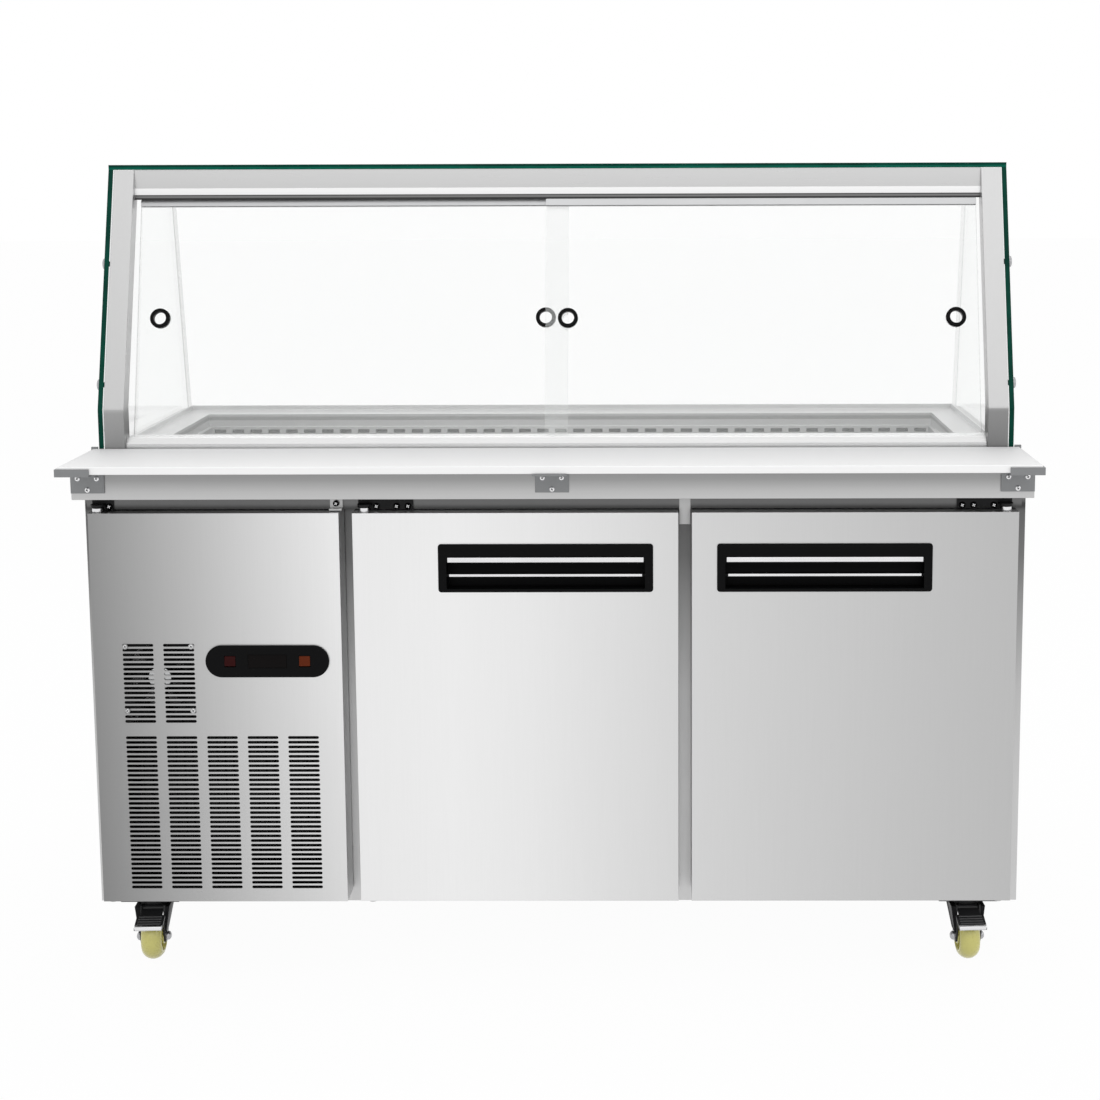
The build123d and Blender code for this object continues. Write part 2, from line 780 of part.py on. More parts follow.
def bracket_spans():
    """The x spans of the left, middle and right brackets."""
    return [(-half_width, bracket_width - half_width), span(0, bracket_width / 2),
            (half_width - bracket_width, half_width)]


def cutting_board():
    edge = half_width - bracket_sheet - slide_gap
    board = block((-edge, edge), board_y(), (worktop_top, worktop_top + board_thickness))
    return fillet(board.edges(), board_round)


def board_brackets():
    arm_z = (worktop_top - bracket_sheet, worktop_top)
    plate_y = (apron_y - bracket_sheet, apron_y)
    lip_z = (worktop_top, worktop_top + bracket_lip_height)
    hook_y = (door_y + hook_setback, door_y + hook_setback + bracket_sheet)
    brackets = []
    for side, x in zip((-1, 0, 1), bracket_spans()):
        bracket = block(x, plate_y, (worktop_top - bracket_drop, worktop_top))
        bracket += block(x, (front_y, apron_y), arm_z)
        if side:
            outer = sorted((side * half_width, side * (half_width - bracket_sheet)))
            hook_x = sorted((side * half_width, side * (half_width - hook_width)))
            bracket += block(x, (front_y, front_y + bracket_sheet), lip_z)
            bracket += block(outer, (front_y, hook_y[1]), lip_z)
            bracket += block(hook_x, hook_y, (worktop_top, worktop_top + hook_height))
        brackets.append(bracket.solid())
    return Compound(brackets)


def board_screws():
    face = apron_y - bracket_sheet
    screws = []
    for x in bracket_spans():
        middle = (x[0] + x[1]) / 2
        upper = worktop_top - screw_drops[0]
        places = [(middle - screw_spread / 2, upper), (middle + screw_spread / 2, upper),
                  (middle, worktop_top - screw_drops[1])]
        for screw_x, z in places:
            head = rod_y(screw_head[0], screw_x, (face - screw_head[1], face), z)
            socket = rod_y(screw_socket[0], screw_x,
                           (face - screw_head[1], face - screw_head[1] + screw_socket[1]), z)
            screws.append((head - socket).solid())
    return Compound(screws)


# Canopy

def post_front_y(z):
    """The posts' front line: upright at the foot, then leaning back."""
    rise = max(0.0, z - stub_top)
    return post_y + post_lean * rise / (canopy_z - stub_top)


def customer_back_y(z):
    """The outer face of the leaning glass on the customer side."""
    foot = back_y - customer_foot_gap
    return foot - customer_lean * (z - worktop_top) / (canopy_z - worktop_top)


def canopy_posts():
    outline = [(post_y, worktop_top), (post_y, stub_top), (post_front_y(canopy_z), canopy_z),
               (post_front_y(canopy_z) + post_depth, canopy_z), (post_y + post_depth, stub_top),
               (post_y + post_depth, worktop_top)]
    return Compound([bar_along_x(outline, post_x).solid(),
                     bar_along_x(outline, (-post_x[1], -post_x[0])).solid()])


def canopy_beam():
    front = post_front_y(canopy_z) + beam_setback
    lip_front = front - beam_lip[0]
    lip_z = beam_z - beam_lip[1]
    track_z = lip_z - beam_track_height
    back = front + beam_depth
    outline = [(front, canopy_z), (front, beam_z), (lip_front, beam_z), (lip_front, lip_z), (front, lip_z),
               (front, track_z), (back, track_z), (back, canopy_z)]
    beam = bar_along_x(outline, (-post_x[0], post_x[0]))
    for plane in pane_planes():
        top = channel_top(plane) + fin_height + slide_gap
        half = fin_thickness / 2 + slide_gap
        beam -= plane * block((-post_x[0], post_x[0]), (channel_top(plane), top), span(0, half))
    return beam


def bottom_track():
    front = door_y + bottom_track_offset
    shoulder_z = worktop_top + bottom_track_shoulder
    top_z = worktop_top + bottom_track_height
    outline = [(front, worktop_top), (front, shoulder_z), (front + bottom_track_bevel, top_z),
               (front + bottom_track_depth, top_z), (front + bottom_track_depth, worktop_top)]
    track = bar_along_x(outline, (-post_x[0], post_x[0]))
    for plane in pane_planes():
        half = pane_thickness / 2 + slide_gap
        track -= plane * block((-post_x[0], post_x[0]), (0, 3 * pane_groove), span(0, half))
    return track


def top_glass():
    back = customer_back_y(canopy_z)
    return block((-glass_outer_x, glass_outer_x), (post_front_y(canopy_z), back), (canopy_z, overall_height))


def standoff_places():
    heights = [worktop_top + rise for rise in standoff_rises]
    return [(post_front_y(z) + post_depth / 2, z) for z in heights]


def side_glasses():
    inner_foot = customer_back_y(worktop_top) - glass_thickness
    inner_top = customer_back_y(canopy_z) - glass_thickness
    outline = [(post_y, worktop_top), (post_y, stub_top), (post_front_y(canopy_z), canopy_z),
               (inner_top, canopy_z), (inner_foot, worktop_top)]
    glasses = []
    for x in ((glass_outer_x - glass_thickness, glass_outer_x),
              (-glass_outer_x, glass_thickness - glass_outer_x)):
        glass = bar_along_x(outline, x)
        for y, z in standoff_places():
            glass -= rod_x(standoff_stud + standoff_hole_gap, x, y, z)
        glasses.append(glass.solid())
    return Compound(glasses)


def customer_glass():
    foot = customer_back_y(worktop_top)
    top = customer_back_y(canopy_z)
    outline = [(foot - glass_thickness, worktop_top), (foot, worktop_top), (top, canopy_z),
               (top - glass_thickness, canopy_z)]
    return bar_along_x(outline, (-glass_outer_x, glass_outer_x))


def glass_standoffs():
    standoffs = []
    for side in (-1, 1):
        for y, z in standoff_places():
            stud = rod_x(standoff_stud, sorted((side * post_x[1], side * glass_outer_x)), y, z)
            washer_x = sorted((side * post_x[1], side * (post_x[1] + post_glass_gap)))
            cap_x = sorted((side * glass_outer_x, side * (glass_outer_x + standoff_cap[1])))
            washer = rod_x(standoff_cap[0], washer_x, y, z)
            cap = rod_x(standoff_cap[0], cap_x, y, z)
            standoffs.append((stud + washer + cap).solid())
    return Compound(standoffs)


# Sliding panes: a plane's x is the object's X, its y runs up the slope, its z faces the operator.

def pane_planes():
    """The planes of the right (outer) and left (inner) pane, with their origins at the panes' feet."""
    lean = math.radians(pane_lean)
    facing = (0, -math.cos(lean), math.sin(lean))
    foot_z = worktop_top + bottom_track_height - pane_groove
    outer = Plane(origin=(0, door_y + pane_offset, foot_z), x_dir=(1, 0, 0), z_dir=facing)
    return [outer, outer.offset(-pane_spacing)]


def slope_at(plane, z):
    """How far up a pane's slope a height lies."""
    return (z - plane.origin.Z) / math.cos(math.radians(pane_lean))


def channel_top(plane):
    """The top of a pane's channel, just under the beam's track."""
    lean = math.radians(pane_lean)
    track_z = beam_z - beam_lip[1] - beam_track_height
    return slope_at(plane, track_z) - channel_gap - channel_thickness / 2 * math.tan(lean)


def pane_x(side):
    """The x span of a closed pane: -1 is the left one, 1 the right one."""
    inner = -side * pane_lap / 2
    return sorted((inner, inner + side * pane_width))


def pane_plane(side):
    return pane_planes()[0 if side > 0 else 1]


def ring_places(side):
    x = pane_x(side)
    slope = slope_at(pane_plane(side), worktop_top + ring_rise)
    return [(x[0] + ring_edge, slope), (x[1] - ring_edge, slope)]


def pane(side):
    plane = pane_plane(side)
    top = channel_top(plane) - channel_height + channel_grip
    glass = block(pane_x(side), (0, top), span(0, pane_thickness / 2))
    for place in ring_places(side):
        glass -= Pos(*place, 0) * Cylinder(ring_hole, 2 * pane_thickness)
    return plane * glass


def pane_channel(side):
    plane = pane_plane(side)
    top = channel_top(plane)
    x = pane_x(side)
    foot = top - channel_height
    channel = block(x, (foot, top), span(0, channel_thickness / 2))
    channel -= block(x, (foot, foot + channel_grip), span(0, pane_thickness / 2))
    channel += block(x, (top, top + fin_height), span(0, fin_thickness / 2))
    return plane * channel


def pane_rings(side):
    rings = []
    half = pane_thickness / 2
    for place in ring_places(side):
        ring = rod_z(ring_sleeve, 0, 0, span(0, half))
        ring += rod_z(ring_radius, 0, 0, (half, half + ring_flange))
        ring += rod_z(ring_radius, 0, 0, (-half - ring_flange, -half))
        ring -= rod_z(ring_bore, 0, 0, span(0, half + ring_flange))
        rings.append((pane_plane(side) * Pos(*place, 0) * ring).solid())
    return Compound(rings)


# Castors: built about the swivel axis with the wheel trailing along -Y, then turned and placed.

def caster_places():
    front = door_y + caster_front_offset
    back = back_y - caster_back_offset
    places = {}
    for name, side in (("left", -1), ("right", 1)):
        places["front_" + name] = Pos(side * caster_x, front, 0) * Rot(0, 0, caster_turn)
        places["rear_" + name] = Pos(side * caster_x, back, 0) * Rot(0, 0, caster_turn)
    return places


def caster_plates():
    plates = []
    plate_z = (base_height - caster_plate[2], base_height)
    head_top = bridge_bottom - slide_gap
    for place in caster_places().values():
        plate = block(span(0, caster_plate[0] / 2), span(0, caster_plate[1] / 2), plate_z)
        pin = rod_z(kingpin_radius, 0, 0, (head_top, base_height))
        pin += rod_z(kingpin_head[0], 0, 0, (head_top - kingpin_head[1], head_top))
        square = Pos(*place.position)
        plates.append((square * (plate + pin)).solid())
    return Compound(plates)


def caster_fork():
    half = fork_gap / 2
    outer = half + fork_wall
    fork = rod_z(crown_radius, 0, 0, (bridge_top, crown_top))
    fork += block(span(0, outer), span(0, bridge_half), (bridge_bottom, bridge_top))
    boss_z = span(wheel_radius, axle_boss_rise)
    arm = [(fork_arm_top[0], bridge_top), (fork_arm_top[1], bridge_top),
           (-trail - axle_boss_half, boss_z[1]), (-trail - axle_boss_foot, boss_z[0]),
           (-trail + axle_boss_foot, boss_z[0]), (-trail + axle_boss_half, boss_z[1])]
    for side in (-1, 1):
        fork += bar_along_x(arm, sorted((side * half, side * outer)))
        head_x = sorted((side * outer, side * (outer + axle_head[1])))
        fork += rod_x(axle_head[0], head_x, -trail, wheel_radius)
    fork += rod_x(axle_radius, span(0, outer), -trail, wheel_radius)
    return fork - rod_z(kingpin_radius + running_fit, 0, 0, (bridge_bottom, crown_top))


def braked_fork():
    pin = rod_x(pedal_pin_radius, span(0, fork_gap / 2 + fork_wall), -pedal_pivot[0], pedal_pivot[1])
    return caster_fork() + pin


def caster_wheel():
    tread = rod_x(wheel_radius, span(0, wheel_width / 2), -trail, wheel_radius)
    rims = tread.edges().filter_by(GeomType.CIRCLE)
    wheel = fillet(rims, wheel_round)
    for side in (-1, 1):
        dish = sorted((side * wheel_web[1], side * wheel_width))
        wheel -= rod_x(wheel_web[0], dish, -trail, wheel_radius)
    wheel += rod_x(wheel_hub[0], span(0, wheel_hub[1]), -trail, wheel_radius)
    return wheel - rod_x(axle_radius + running_fit, span(0, wheel_hub[1]), -trail, wheel_radius)


def brake_pedal():
    half = fork_gap / 2 - slide_gap
    reach = (pedal_tip[0] - pedal_pivot[0], pedal_tip[1] - pedal_pivot[1])
    fall = reach[1] / reach[0]
    neck_z = pedal_pivot[1] + fall * (pedal_neck - pedal_pivot[0])
    rise = pedal_thickness / 2
    neck = [(-pedal_pivot[0], pedal_pivot[1] - rise), (-pedal_neck, neck_z - rise),
            (-pedal_neck, neck_z + rise), (-pedal_pivot[0], pedal_pivot[1] + rise)]
    tread = [(-pedal_neck, neck_z - rise), (-pedal_tip[0], pedal_tip[1] - rise),
             (-pedal_tip[0], pedal_tip[1] + rise), (-pedal_neck, neck_z + rise)]
    pedal = bar_along_x(neck, span(0, half)) + bar_along_x(tread, span(0, pedal_half_width))
    pedal += rod_x(pedal_tube_radius, span(0, half), -pedal_pivot[0], pedal_pivot[1])
    return pedal - rod_x(pedal_pin_radius + running_fit, span(0, half), -pedal_pivot[0], pedal_pivot[1])


# Every node by name

nodes = {
    "left_side_panel": left_side_panel(),
    "right_side_panel": right_side_panel(),
    "rear_panel": rear_panel(),
    "base_panel": base_panel(),
    "bay_partition": bay_partition(),
    "front_frame": front_frame(),
    "worktop": worktop(),
    "pan_well": pan_well(),
    "shelves": shelves(),
    "evaporator": evaporator(),
    "compressor": compressor(),
    "condenser": condenser(),
    "hinge_brackets": hinge_brackets(),
    "panel_catch": panel_catch(),
    "canopy_posts": canopy_posts(),
    "canopy_beam": canopy_beam(),
    "bottom_track": bottom_track(),
    "top_glass": top_glass(),
    "side_glasses": side_glasses(),
    "customer_glass": customer_glass(),
    "glass_standoffs": glass_standoffs(),
    "board_brackets": board_brackets(),
    "board_screws": board_screws(),
    "caster_plates": caster_plates(),
    "cutting_board": cutting_board(),
    "service_panel": service_panel(),
    "control_fascia": control_fascia(),
    "vent_fan_frame": vent_fan_place() * fan_frame(vent_fan),
    "vent_fan_rotor": vent_fan_place() * fan_rotor(vent_fan),
    "condenser_fan_rotor": condenser_fan_place() * fan_rotor(condenser_fan),
    "evaporator_fan_rotor": evaporator_fan_place() * fan_rotor(evaporator_fan),
    "power_switch": rocker(-1),
    "light_switch": rocker(1),
}

for name, door_x, hinge_side in (("left", left_door_x, -1), ("right", right_door_x, 1)):
    nodes[name + "_door_skin"] = door_skin(door_x, hinge_side)
    nodes[name + "_door_liner"] = door_liner(door_x, hinge_side)
    nodes[name + "_door_gasket"] = door_gasket(door_x)
    nodes[name + "_handle_housing"] = handle_housing(door_x, hinge_side)
    nodes[name + "_handle_trim"] = handle_trim(door_x, hinge_side)
    nodes[name + "_pane"] = pane(hinge_side)
    nodes[name + "_pane_channel"] = pane_channel(hinge_side)
    nodes[name + "_pane_rings"] = pane_rings(hinge_side)

for name, place in caster_places().items():
    braked = name.startswith("front")
    nodes[name + "_fork"] = place * (braked_fork() if braked else caster_fork())
    nodes[name + "_wheel"] = place * caster_wheel()
    if braked:
        nodes[name + "_brake_pedal"] = place * brake_pedal()

os.makedirs("parts", exist_ok=True)
for name, shape in nodes.items():
    export_step(shape, "parts/" + name + ".step")
print(len(nodes), "nodes written")
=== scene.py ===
# %% [markdown]
# # A refrigerated salad bar
#
# The counter is steel sheet, glass and a few moulded parts. Its exact shapes come from the CAD
# model, so this lesson keeps those shapes and adds what CAD leaves plain: brushed metal, green
# glass edges, rounded rings, turned wheels, fan blades, wires and screws.
#
# Lengths are metres, but drawn profiles, the fork cheeks and bevel widths are in millimetres. X runs
# to the operator's right, Y towards the customers, Z up.

# %% Load the CAD frame
import json
import math

import bmesh
import bpy
from mathutils import Matrix, Vector


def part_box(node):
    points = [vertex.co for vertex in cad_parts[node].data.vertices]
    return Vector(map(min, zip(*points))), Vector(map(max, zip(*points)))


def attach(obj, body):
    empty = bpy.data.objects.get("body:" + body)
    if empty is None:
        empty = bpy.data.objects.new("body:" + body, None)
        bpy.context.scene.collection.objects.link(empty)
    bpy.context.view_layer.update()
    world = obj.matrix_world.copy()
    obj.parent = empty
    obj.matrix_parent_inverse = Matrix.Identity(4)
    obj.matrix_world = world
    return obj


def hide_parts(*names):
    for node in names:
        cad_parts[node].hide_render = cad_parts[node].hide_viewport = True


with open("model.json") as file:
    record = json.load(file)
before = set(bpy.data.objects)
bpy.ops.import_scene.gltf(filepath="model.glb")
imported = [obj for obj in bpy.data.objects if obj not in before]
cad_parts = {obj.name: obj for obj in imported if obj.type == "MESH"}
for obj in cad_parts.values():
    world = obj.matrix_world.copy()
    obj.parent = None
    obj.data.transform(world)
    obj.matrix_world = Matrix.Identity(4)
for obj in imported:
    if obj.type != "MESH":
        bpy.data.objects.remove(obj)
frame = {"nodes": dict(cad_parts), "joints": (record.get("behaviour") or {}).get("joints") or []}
nodes = frame["nodes"]
joints = {joint["name"]: joint for joint in frame["joints"]}
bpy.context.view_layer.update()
scene = bpy.context.scene
MM = 0.001
print("CAD nodes:", len(nodes), "joints:", len(joints))

# %% [markdown]
# ## Small tools for materials
#
# A material is a little sum: coordinates go in, a colour and a roughness come out. Wiring each
# node by hand hides that sum, so a wire here can be added and multiplied like a number, and one
# method makes every node.

# %% A wire that does sums
def sums(operation, turned=False):
    """A method that makes one Math node. turned swaps the sides, for sums such as 1 - wire."""
    def method(self, other=0.0):
        first, second = (other, self) if turned else (self, other)
        return self.wiring.node("ShaderNodeMath", {0: first, 1: second}, operation=operation)
    return method


class Wire:
    """A node's output that takes part in sums."""

    def __init__(self, wiring, socket):
        self.wiring = wiring
        self.socket = socket

    __add__ = __radd__ = sums("ADD")
    __sub__ = sums("SUBTRACT")
    __rsub__ = sums("SUBTRACT", turned=True)
    __mul__ = __rmul__ = sums("MULTIPLY")
    __truediv__ = sums("DIVIDE")
    __rtruediv__ = sums("DIVIDE", turned=True)
    __lt__ = sums("LESS_THAN")
    __gt__ = sums("GREATER_THAN")
    __abs__ = sums("ABSOLUTE")
    sine = sums("SINE")

# %% Nodes and links
class Wiring:
    """The nodes of one material, or of the world."""

    def __init__(self, tree):
        self.tree = tree

    def node(self, kind, inputs=None, out=0, stops=(), **settings):
        """Makes a node, with its settings before its sockets, and gives one of its outputs."""
        made = self.tree.nodes.new(kind)
        for key, value in settings.items():
            setattr(made, key, value)
        if stops:
            marks = made.color_ramp.elements
            marks.remove(marks[1])
            marks[0].position, marks[0].color = stops[0]
            for position, color in stops[1:]:
                marks.new(position).color = color
        self.feed(made, inputs or {})
        return Wire(self, made.outputs[out])

    def feed(self, made, inputs):
        """Links wires to a node's sockets and sets the others."""
        for key, value in inputs.items():
            if isinstance(value, Wire):
                self.tree.links.new(value.socket, made.inputs[key])
            else:
                made.inputs[key].default_value = value

# %% One material
class Paint(Wiring):
    """One material being wired."""

    def __init__(self, name):
        self.material = bpy.data.materials.new(name)
        self.material.use_nodes = True
        super().__init__(self.material.node_tree)
        self.shader = self.tree.nodes["Principled BSDF"]
        self.output = self.tree.nodes["Material Output"]

    def set(self, **inputs):
        self.feed(self.shader, {key.replace("_", " "): value for key, value in inputs.items()})
        return self.material

    def place(self, stretch=(1, 1, 1)):
        """Object coordinates, stretched by a factor on each axis."""
        spot = self.node("ShaderNodeTexCoord", out="Object")
        return self.node("ShaderNodeMapping", {"Vector": spot, "Scale": stretch})

    def along(self, axis, of="Object"):
        """One axis of the Object coordinates, or of the Normal."""
        spot = self.node("ShaderNodeTexCoord", out=of)
        return self.node("ShaderNodeSeparateXYZ", {0: spot}, out=axis)

    def between(self, axis, low, high):
        """1 where a coordinate lies between two values, 0 elsewhere."""
        return (self.along(axis) > low) * (self.along(axis) < high)

    def noise(self, scale, stretch=(1, 1, 1), detail=3.0):
        """Soft random patches between 0 and 1."""
        return self.node("ShaderNodeTexNoise",
                         {"Vector": self.place(stretch), "Scale": scale, "Detail": detail}, out=0)

    def mix(self, share, first, second):
        """A colour between two others."""
        return self.node("ShaderNodeMix", {0: share, 6: first, 7: second}, out=2, data_type="RGBA")

    def bump(self, height, strength, distance=0.0002):
        return self.node("ShaderNodeBump", {"Height": height, "Strength": strength, "Distance": distance})

# %% Colours
def grey(level):
    """A linear grey from a screen tone of 0 to 255, by the sRGB curve."""
    share = level / 255
    value = ((share + 0.055) / 1.055) ** 2.4 if share > 0.04 else share / 12.92
    return (value, value, value, 1.0)


def shade(color, factor):
    """A colour made darker or paler."""
    return (color[0] * factor, color[1] * factor, color[2] * factor, 1.0)

# %% [markdown]
# ## Brushed steel
#
# Brushing leaves fine scratches in one direction. A noise stretched along that direction makes
# them: it moves the colour a little, the roughness more, and tilts the normal slightly. Real sheet
# also mirrors the studio as one broad, soft change of tone across each front. The white studio
# here has no walls to mirror, so a colour ramp along one axis stands in for them. The frame behind
# the doors and the top beam have theirs along Z, because they mirror the floor and the ceiling.

# %% Steel
BRUSH = {"z": (90, 90, 1.2), "x": (1.2, 90, 90)}
DULL_TONE, PAINTED_SHADE_TONE = 150, 12
DULL_SHARE = 0.05
ROUGH_SPREAD = 0.14


def steel(name, tones, across, axis="X", brush="z", rough=0.36, fall=0.0, shade_mask=None):
    """Brushed sheet. tones are (share of the way, screen tone) stops along an axis, a painted reflection.
    fall darkens the sheet downwards, and the mask marks the places in shade, which get painted shade."""
    paint = Paint(name)
    low, high = across
    share = (paint.along(axis) - low) / (high - low)
    # A painted reflection of the room: tone stops along one axis.
    room = paint.node("ShaderNodeValToRGB", {"Fac": share},
                      stops=[(position, grey(tone)) for position, tone in tones])
    scratch = paint.noise(scale=7.0, stretch=BRUSH[brush], detail=4.0)
    patch = paint.noise(scale=2.5)
    wear_and_painted_light = paint.mix(scratch * DULL_SHARE + patch * DULL_SHARE, room, grey(DULL_TONE))
    if fall:
        depth = (DOOR_TOP - paint.along("Z")) / (DOOR_TOP - DOOR_BOTTOM)
        wear_and_painted_light = paint.mix(depth * fall, wear_and_painted_light, grey(0))
    # Painted shade where the mask marks a place in shade.
    if shade_mask:
        wear_and_painted_light = paint.mix(shade_mask(paint), wear_and_painted_light, grey(PAINTED_SHADE_TONE))
    return paint.set(Base_Color=wear_and_painted_light, Metallic=0.9,
                     Roughness=scratch * ROUGH_SPREAD + (rough - ROUGH_SPREAD / 2),
                     Normal=paint.bump(scratch, strength=0.05))


def reach(node, axis="x"):
    """How far a CAD node goes, from low to high, along an axis."""
    low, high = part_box(node)
    return getattr(low, axis), getattr(high, axis)


DOOR_BOTTOM, DOOR_TOP = reach("left_door_skin", "z")
WHOLE = reach("worktop")
print("door height:", round(DOOR_TOP - DOOR_BOTTOM, 3), "m")

# %% [markdown]
# ## Places in shade
#
# Some places on a sheet are nearly black: the machine bay's floor, the rail behind the vents, the
# cut walls of the slots and the air slots of the pan well. The even light of this studio gets into
# all of them, so a mask paints the shade. A mask is a few comparisons on the coordinates, which
# costs no extra mesh and no second material.

# %% Places in shade
HAIR = 0.0008
WELL_LEDGE = 0.0245
WELL_BACK = 0.1
BASE_RIM, BASE_SHEET = 0.004, 0.005
BAY_LAPS = (0.0125, 0.03)
RAIL_SHADE = 0.1
FOOT_SHARE, FOOT_SHADE = 0.16, 0.22
PANEL_RIM = 0.01


def air_slots(paint):
    """1 inside the slots of the pan well's rear wall, where painted shade stands for the dark air duct
    behind them.
    """
    wall_y = reach("worktop", "y")[1] - WELL_BACK
    ledge_z = reach("cutting_board", "z")[0] - WELL_LEDGE
    return (paint.along("Y") > wall_y + HAIR) * (paint.along("Z") < ledge_z)


def machine_bay(paint):
    """1 on the shaded floor of the machine bay, left of the partition and clear of the outer edges."""
    low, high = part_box("base_panel")
    left_of = paint.between("X", low.x + BASE_RIM, reach("bay_partition")[0])
    inside = paint.between("Y", low.y + BASE_RIM, high.y - BASE_RIM)
    return left_of * inside * (paint.along("Z") > low.z + BASE_SHEET)


def vent_shade(paint):
    """1 on the frame's bottom rail behind the service panel's slots, which gets painted shade like the bay.
    """
    left, right = reach("service_panel")
    behind = paint.between("X", left + BAY_LAPS[0], right - BAY_LAPS[1])
    return behind * (paint.along("Z") < DOOR_BOTTOM + RAIL_SHADE)


def right_foot(paint):
    """A little more shade on the right post below its crank."""
    low, high = reach("canopy_posts", "z")
    is_foot = paint.along("Z") < low + (high - low) * FOOT_SHARE
    return (paint.along("X") > 0.0) * is_foot * FOOT_SHADE


def slot_walls(paint):
    """1 on the cut walls of the vent slots, which lie in their own shade."""
    low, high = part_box("service_panel")
    across = paint.between("X", low.x + PANEL_RIM, high.x - PANEL_RIM)
    upright = paint.between("Z", low.z + PANEL_RIM, high.z - PANEL_RIM)
    forward = paint.along("Y", of="Normal")
    return across * upright * (abs(forward) < 0.5)

# %% [markdown]
# ## Tones of the sheets
#
# Every sheet stands differently to the room, so each gets its own run of tones, a painted reflection
# of the room with painted shade, written as seen on a screen from 0 to 255. The doors and the service
# panel change from left to right. The apron, frame, posts and beam change from bottom to top, and short
# steps there are painted highlights on folds and painted shadow lines.

# %% Steel finishes
service_steel = steel("service_steel", [(0.0, 150), (0.4, 193), (0.68, 219), (1.0, 243)],
                      reach("service_panel"), fall=0.16, shade_mask=slot_walls)
left_door_steel = steel("left_door_steel", [(0.0, 242), (0.3, 244), (0.55, 238), (1.0, 219)],
                        reach("left_door_skin"))
right_door_steel = steel("right_door_steel", [(0.0, 217), (0.3, 209), (0.65, 200), (1.0, 192)],
                         reach("right_door_skin"))
# Painted shadow of the board on the apron's upper part, and a paler painted worktop top.
apron_steel = steel("apron_steel", [(0.0, 200), (0.2, 192), (0.5, 160), (0.74, 152), (0.79, 202),
                                    (1.0, 210)], reach("worktop", "z"), "Z", brush="x")
# Painted reflection that darkens towards the top, with a painted shadow line at the door top.
frame_steel = steel("frame_steel", [(0.0, 206), (0.27, 203), (0.49, 192), (0.7, 150), (0.8, 118),
                                    (0.9, 100), (0.909, 58), (0.917, 66), (0.924, 108), (1.0, 124)],
                    reach("front_frame", "z"), "Z", shade_mask=vent_shade)
side_steel = steel("side_steel", [(0.0, 184), (1.0, 184)], WHOLE)
# Painted shade at the foot of the posts.
post_steel = steel("post_steel", [(0.0, 142), (0.15, 158), (0.17, 190), (1.0, 202)],
                   reach("canopy_posts", "z"), "Z", shade_mask=right_foot)
# Painted highlight on the beam's lip and a painted shadow line below it.
beam_steel = steel("beam_steel", [(0.0, 48), (0.05, 52), (0.07, 118), (0.11, 122), (0.13, 70), (0.15, 80),
                                  (0.17, 236), (0.37, 242), (0.38, 200), (1.0, 206)],
                   reach("canopy_beam", "z"), "Z", brush="x", rough=0.3)
track_steel = steel("track_steel", [(0.0, 226), (0.5, 232), (1.0, 228)], WHOLE, brush="x", rough=0.26)
well_steel = steel("well_steel", [(0.0, 206), (0.5, 216), (1.0, 208)], WHOLE, brush="x",
                   shade_mask=air_slots)
base_steel = steel("base_steel", [(0.0, 190), (0.5, 196), (1.0, 190)], WHOLE, brush="x",
                   shade_mask=machine_bay)
print("steels:", sum(1 for material in bpy.data.materials if "steel" in material.name))

# %% [markdown]
# ## Coated, moulded and rubber surfaces
#
# Paint, plastic and rubber differ in colour, gloss and grain. One function makes them all: a soft
# patch keeps the colour from being dead flat and a fine grain roughens it and tilts the normal.

# %% Coated and moulded surfaces
DEEP, PALE = 0.86, 1.12


def coat(name, color, rough=0.5, grain=900.0, depth=0.1, metal=0.0, gloss=0.0, shine=0.5):
    """A painted or moulded surface with faint patches and a fine grain."""
    paint = Paint(name)
    patch = paint.noise(scale=14.0)
    fine = paint.noise(scale=grain, detail=2.0)
    tone = paint.mix(patch * 0.7 + fine * 0.3, shade(color, DEEP), shade(color, PALE))
    paint.set(Metallic=metal, Coat_Weight=gloss, Specular_IOR_Level=shine)
    return paint.set(Base_Color=tone, Roughness=fine * 0.12 + patch * 0.08 + (rough - 0.1),
                     Normal=paint.bump(fine, depth))


bracket_grey = coat("bracket_grey", (0.24, 0.245, 0.25), rough=0.42, grain=700, depth=0.08, metal=0.6)
black_plastic = coat("black_plastic", (0.004, 0.004, 0.0043), rough=0.45, shine=0.055)
black_gloss = coat("black_gloss", (0.003, 0.003, 0.0033), rough=0.25, shine=0.07)
black_metal = coat("black_metal", (0.008, 0.008, 0.009), rough=0.4, shine=0.1)
castor_black = coat("castor_black", (0.022, 0.022, 0.023), rough=0.35, shine=0.3)
rib_black = coat("rib_black", (0.075, 0.075, 0.077), rough=0.3, shine=0.5)
nut_zinc = coat("nut_zinc", (0.42, 0.42, 0.43), rough=0.25, grain=400, depth=0.03, metal=1.0)
seal_rubber = coat("seal_rubber", (0.02, 0.02, 0.021), rough=0.75)
liner_white = coat("liner_white", (0.7, 0.71, 0.71), rough=0.4)
inner_sheet = coat("inner_sheet", (0.52, 0.53, 0.54), rough=0.4, grain=200, depth=0.05, metal=0.7)
bright_trim = coat("bright_trim", (0.8, 0.8, 0.81), rough=0.2, grain=400, depth=0.03, metal=1.0)
bright_channel = coat("bright_channel", (0.52, 0.525, 0.53), rough=0.35, grain=400, depth=0.04, metal=0.9)
wheel_yellow = coat("wheel_yellow", (0.61, 0.57, 0.17), rough=0.3, grain=300, depth=0.05, gloss=0.4)
rocker_red = coat("rocker_red", (0.03, 0.004, 0.004), rough=0.3, shine=0.06)
rocker_orange = coat("rocker_orange", (0.11, 0.02, 0.006), rough=0.3, shine=0.06)
window_dark = coat("window_dark", (0.004, 0.003, 0.003), rough=0.2, shine=0.06)
copper = coat("copper", (0.62, 0.28, 0.15), rough=0.3, grain=300, depth=0.05, metal=1.0)
wire_bright = coat("wire_bright", (0.7, 0.7, 0.71), rough=0.22, grain=400, depth=0.03, metal=1.0)
print("materials so far:", len(bpy.data.materials))
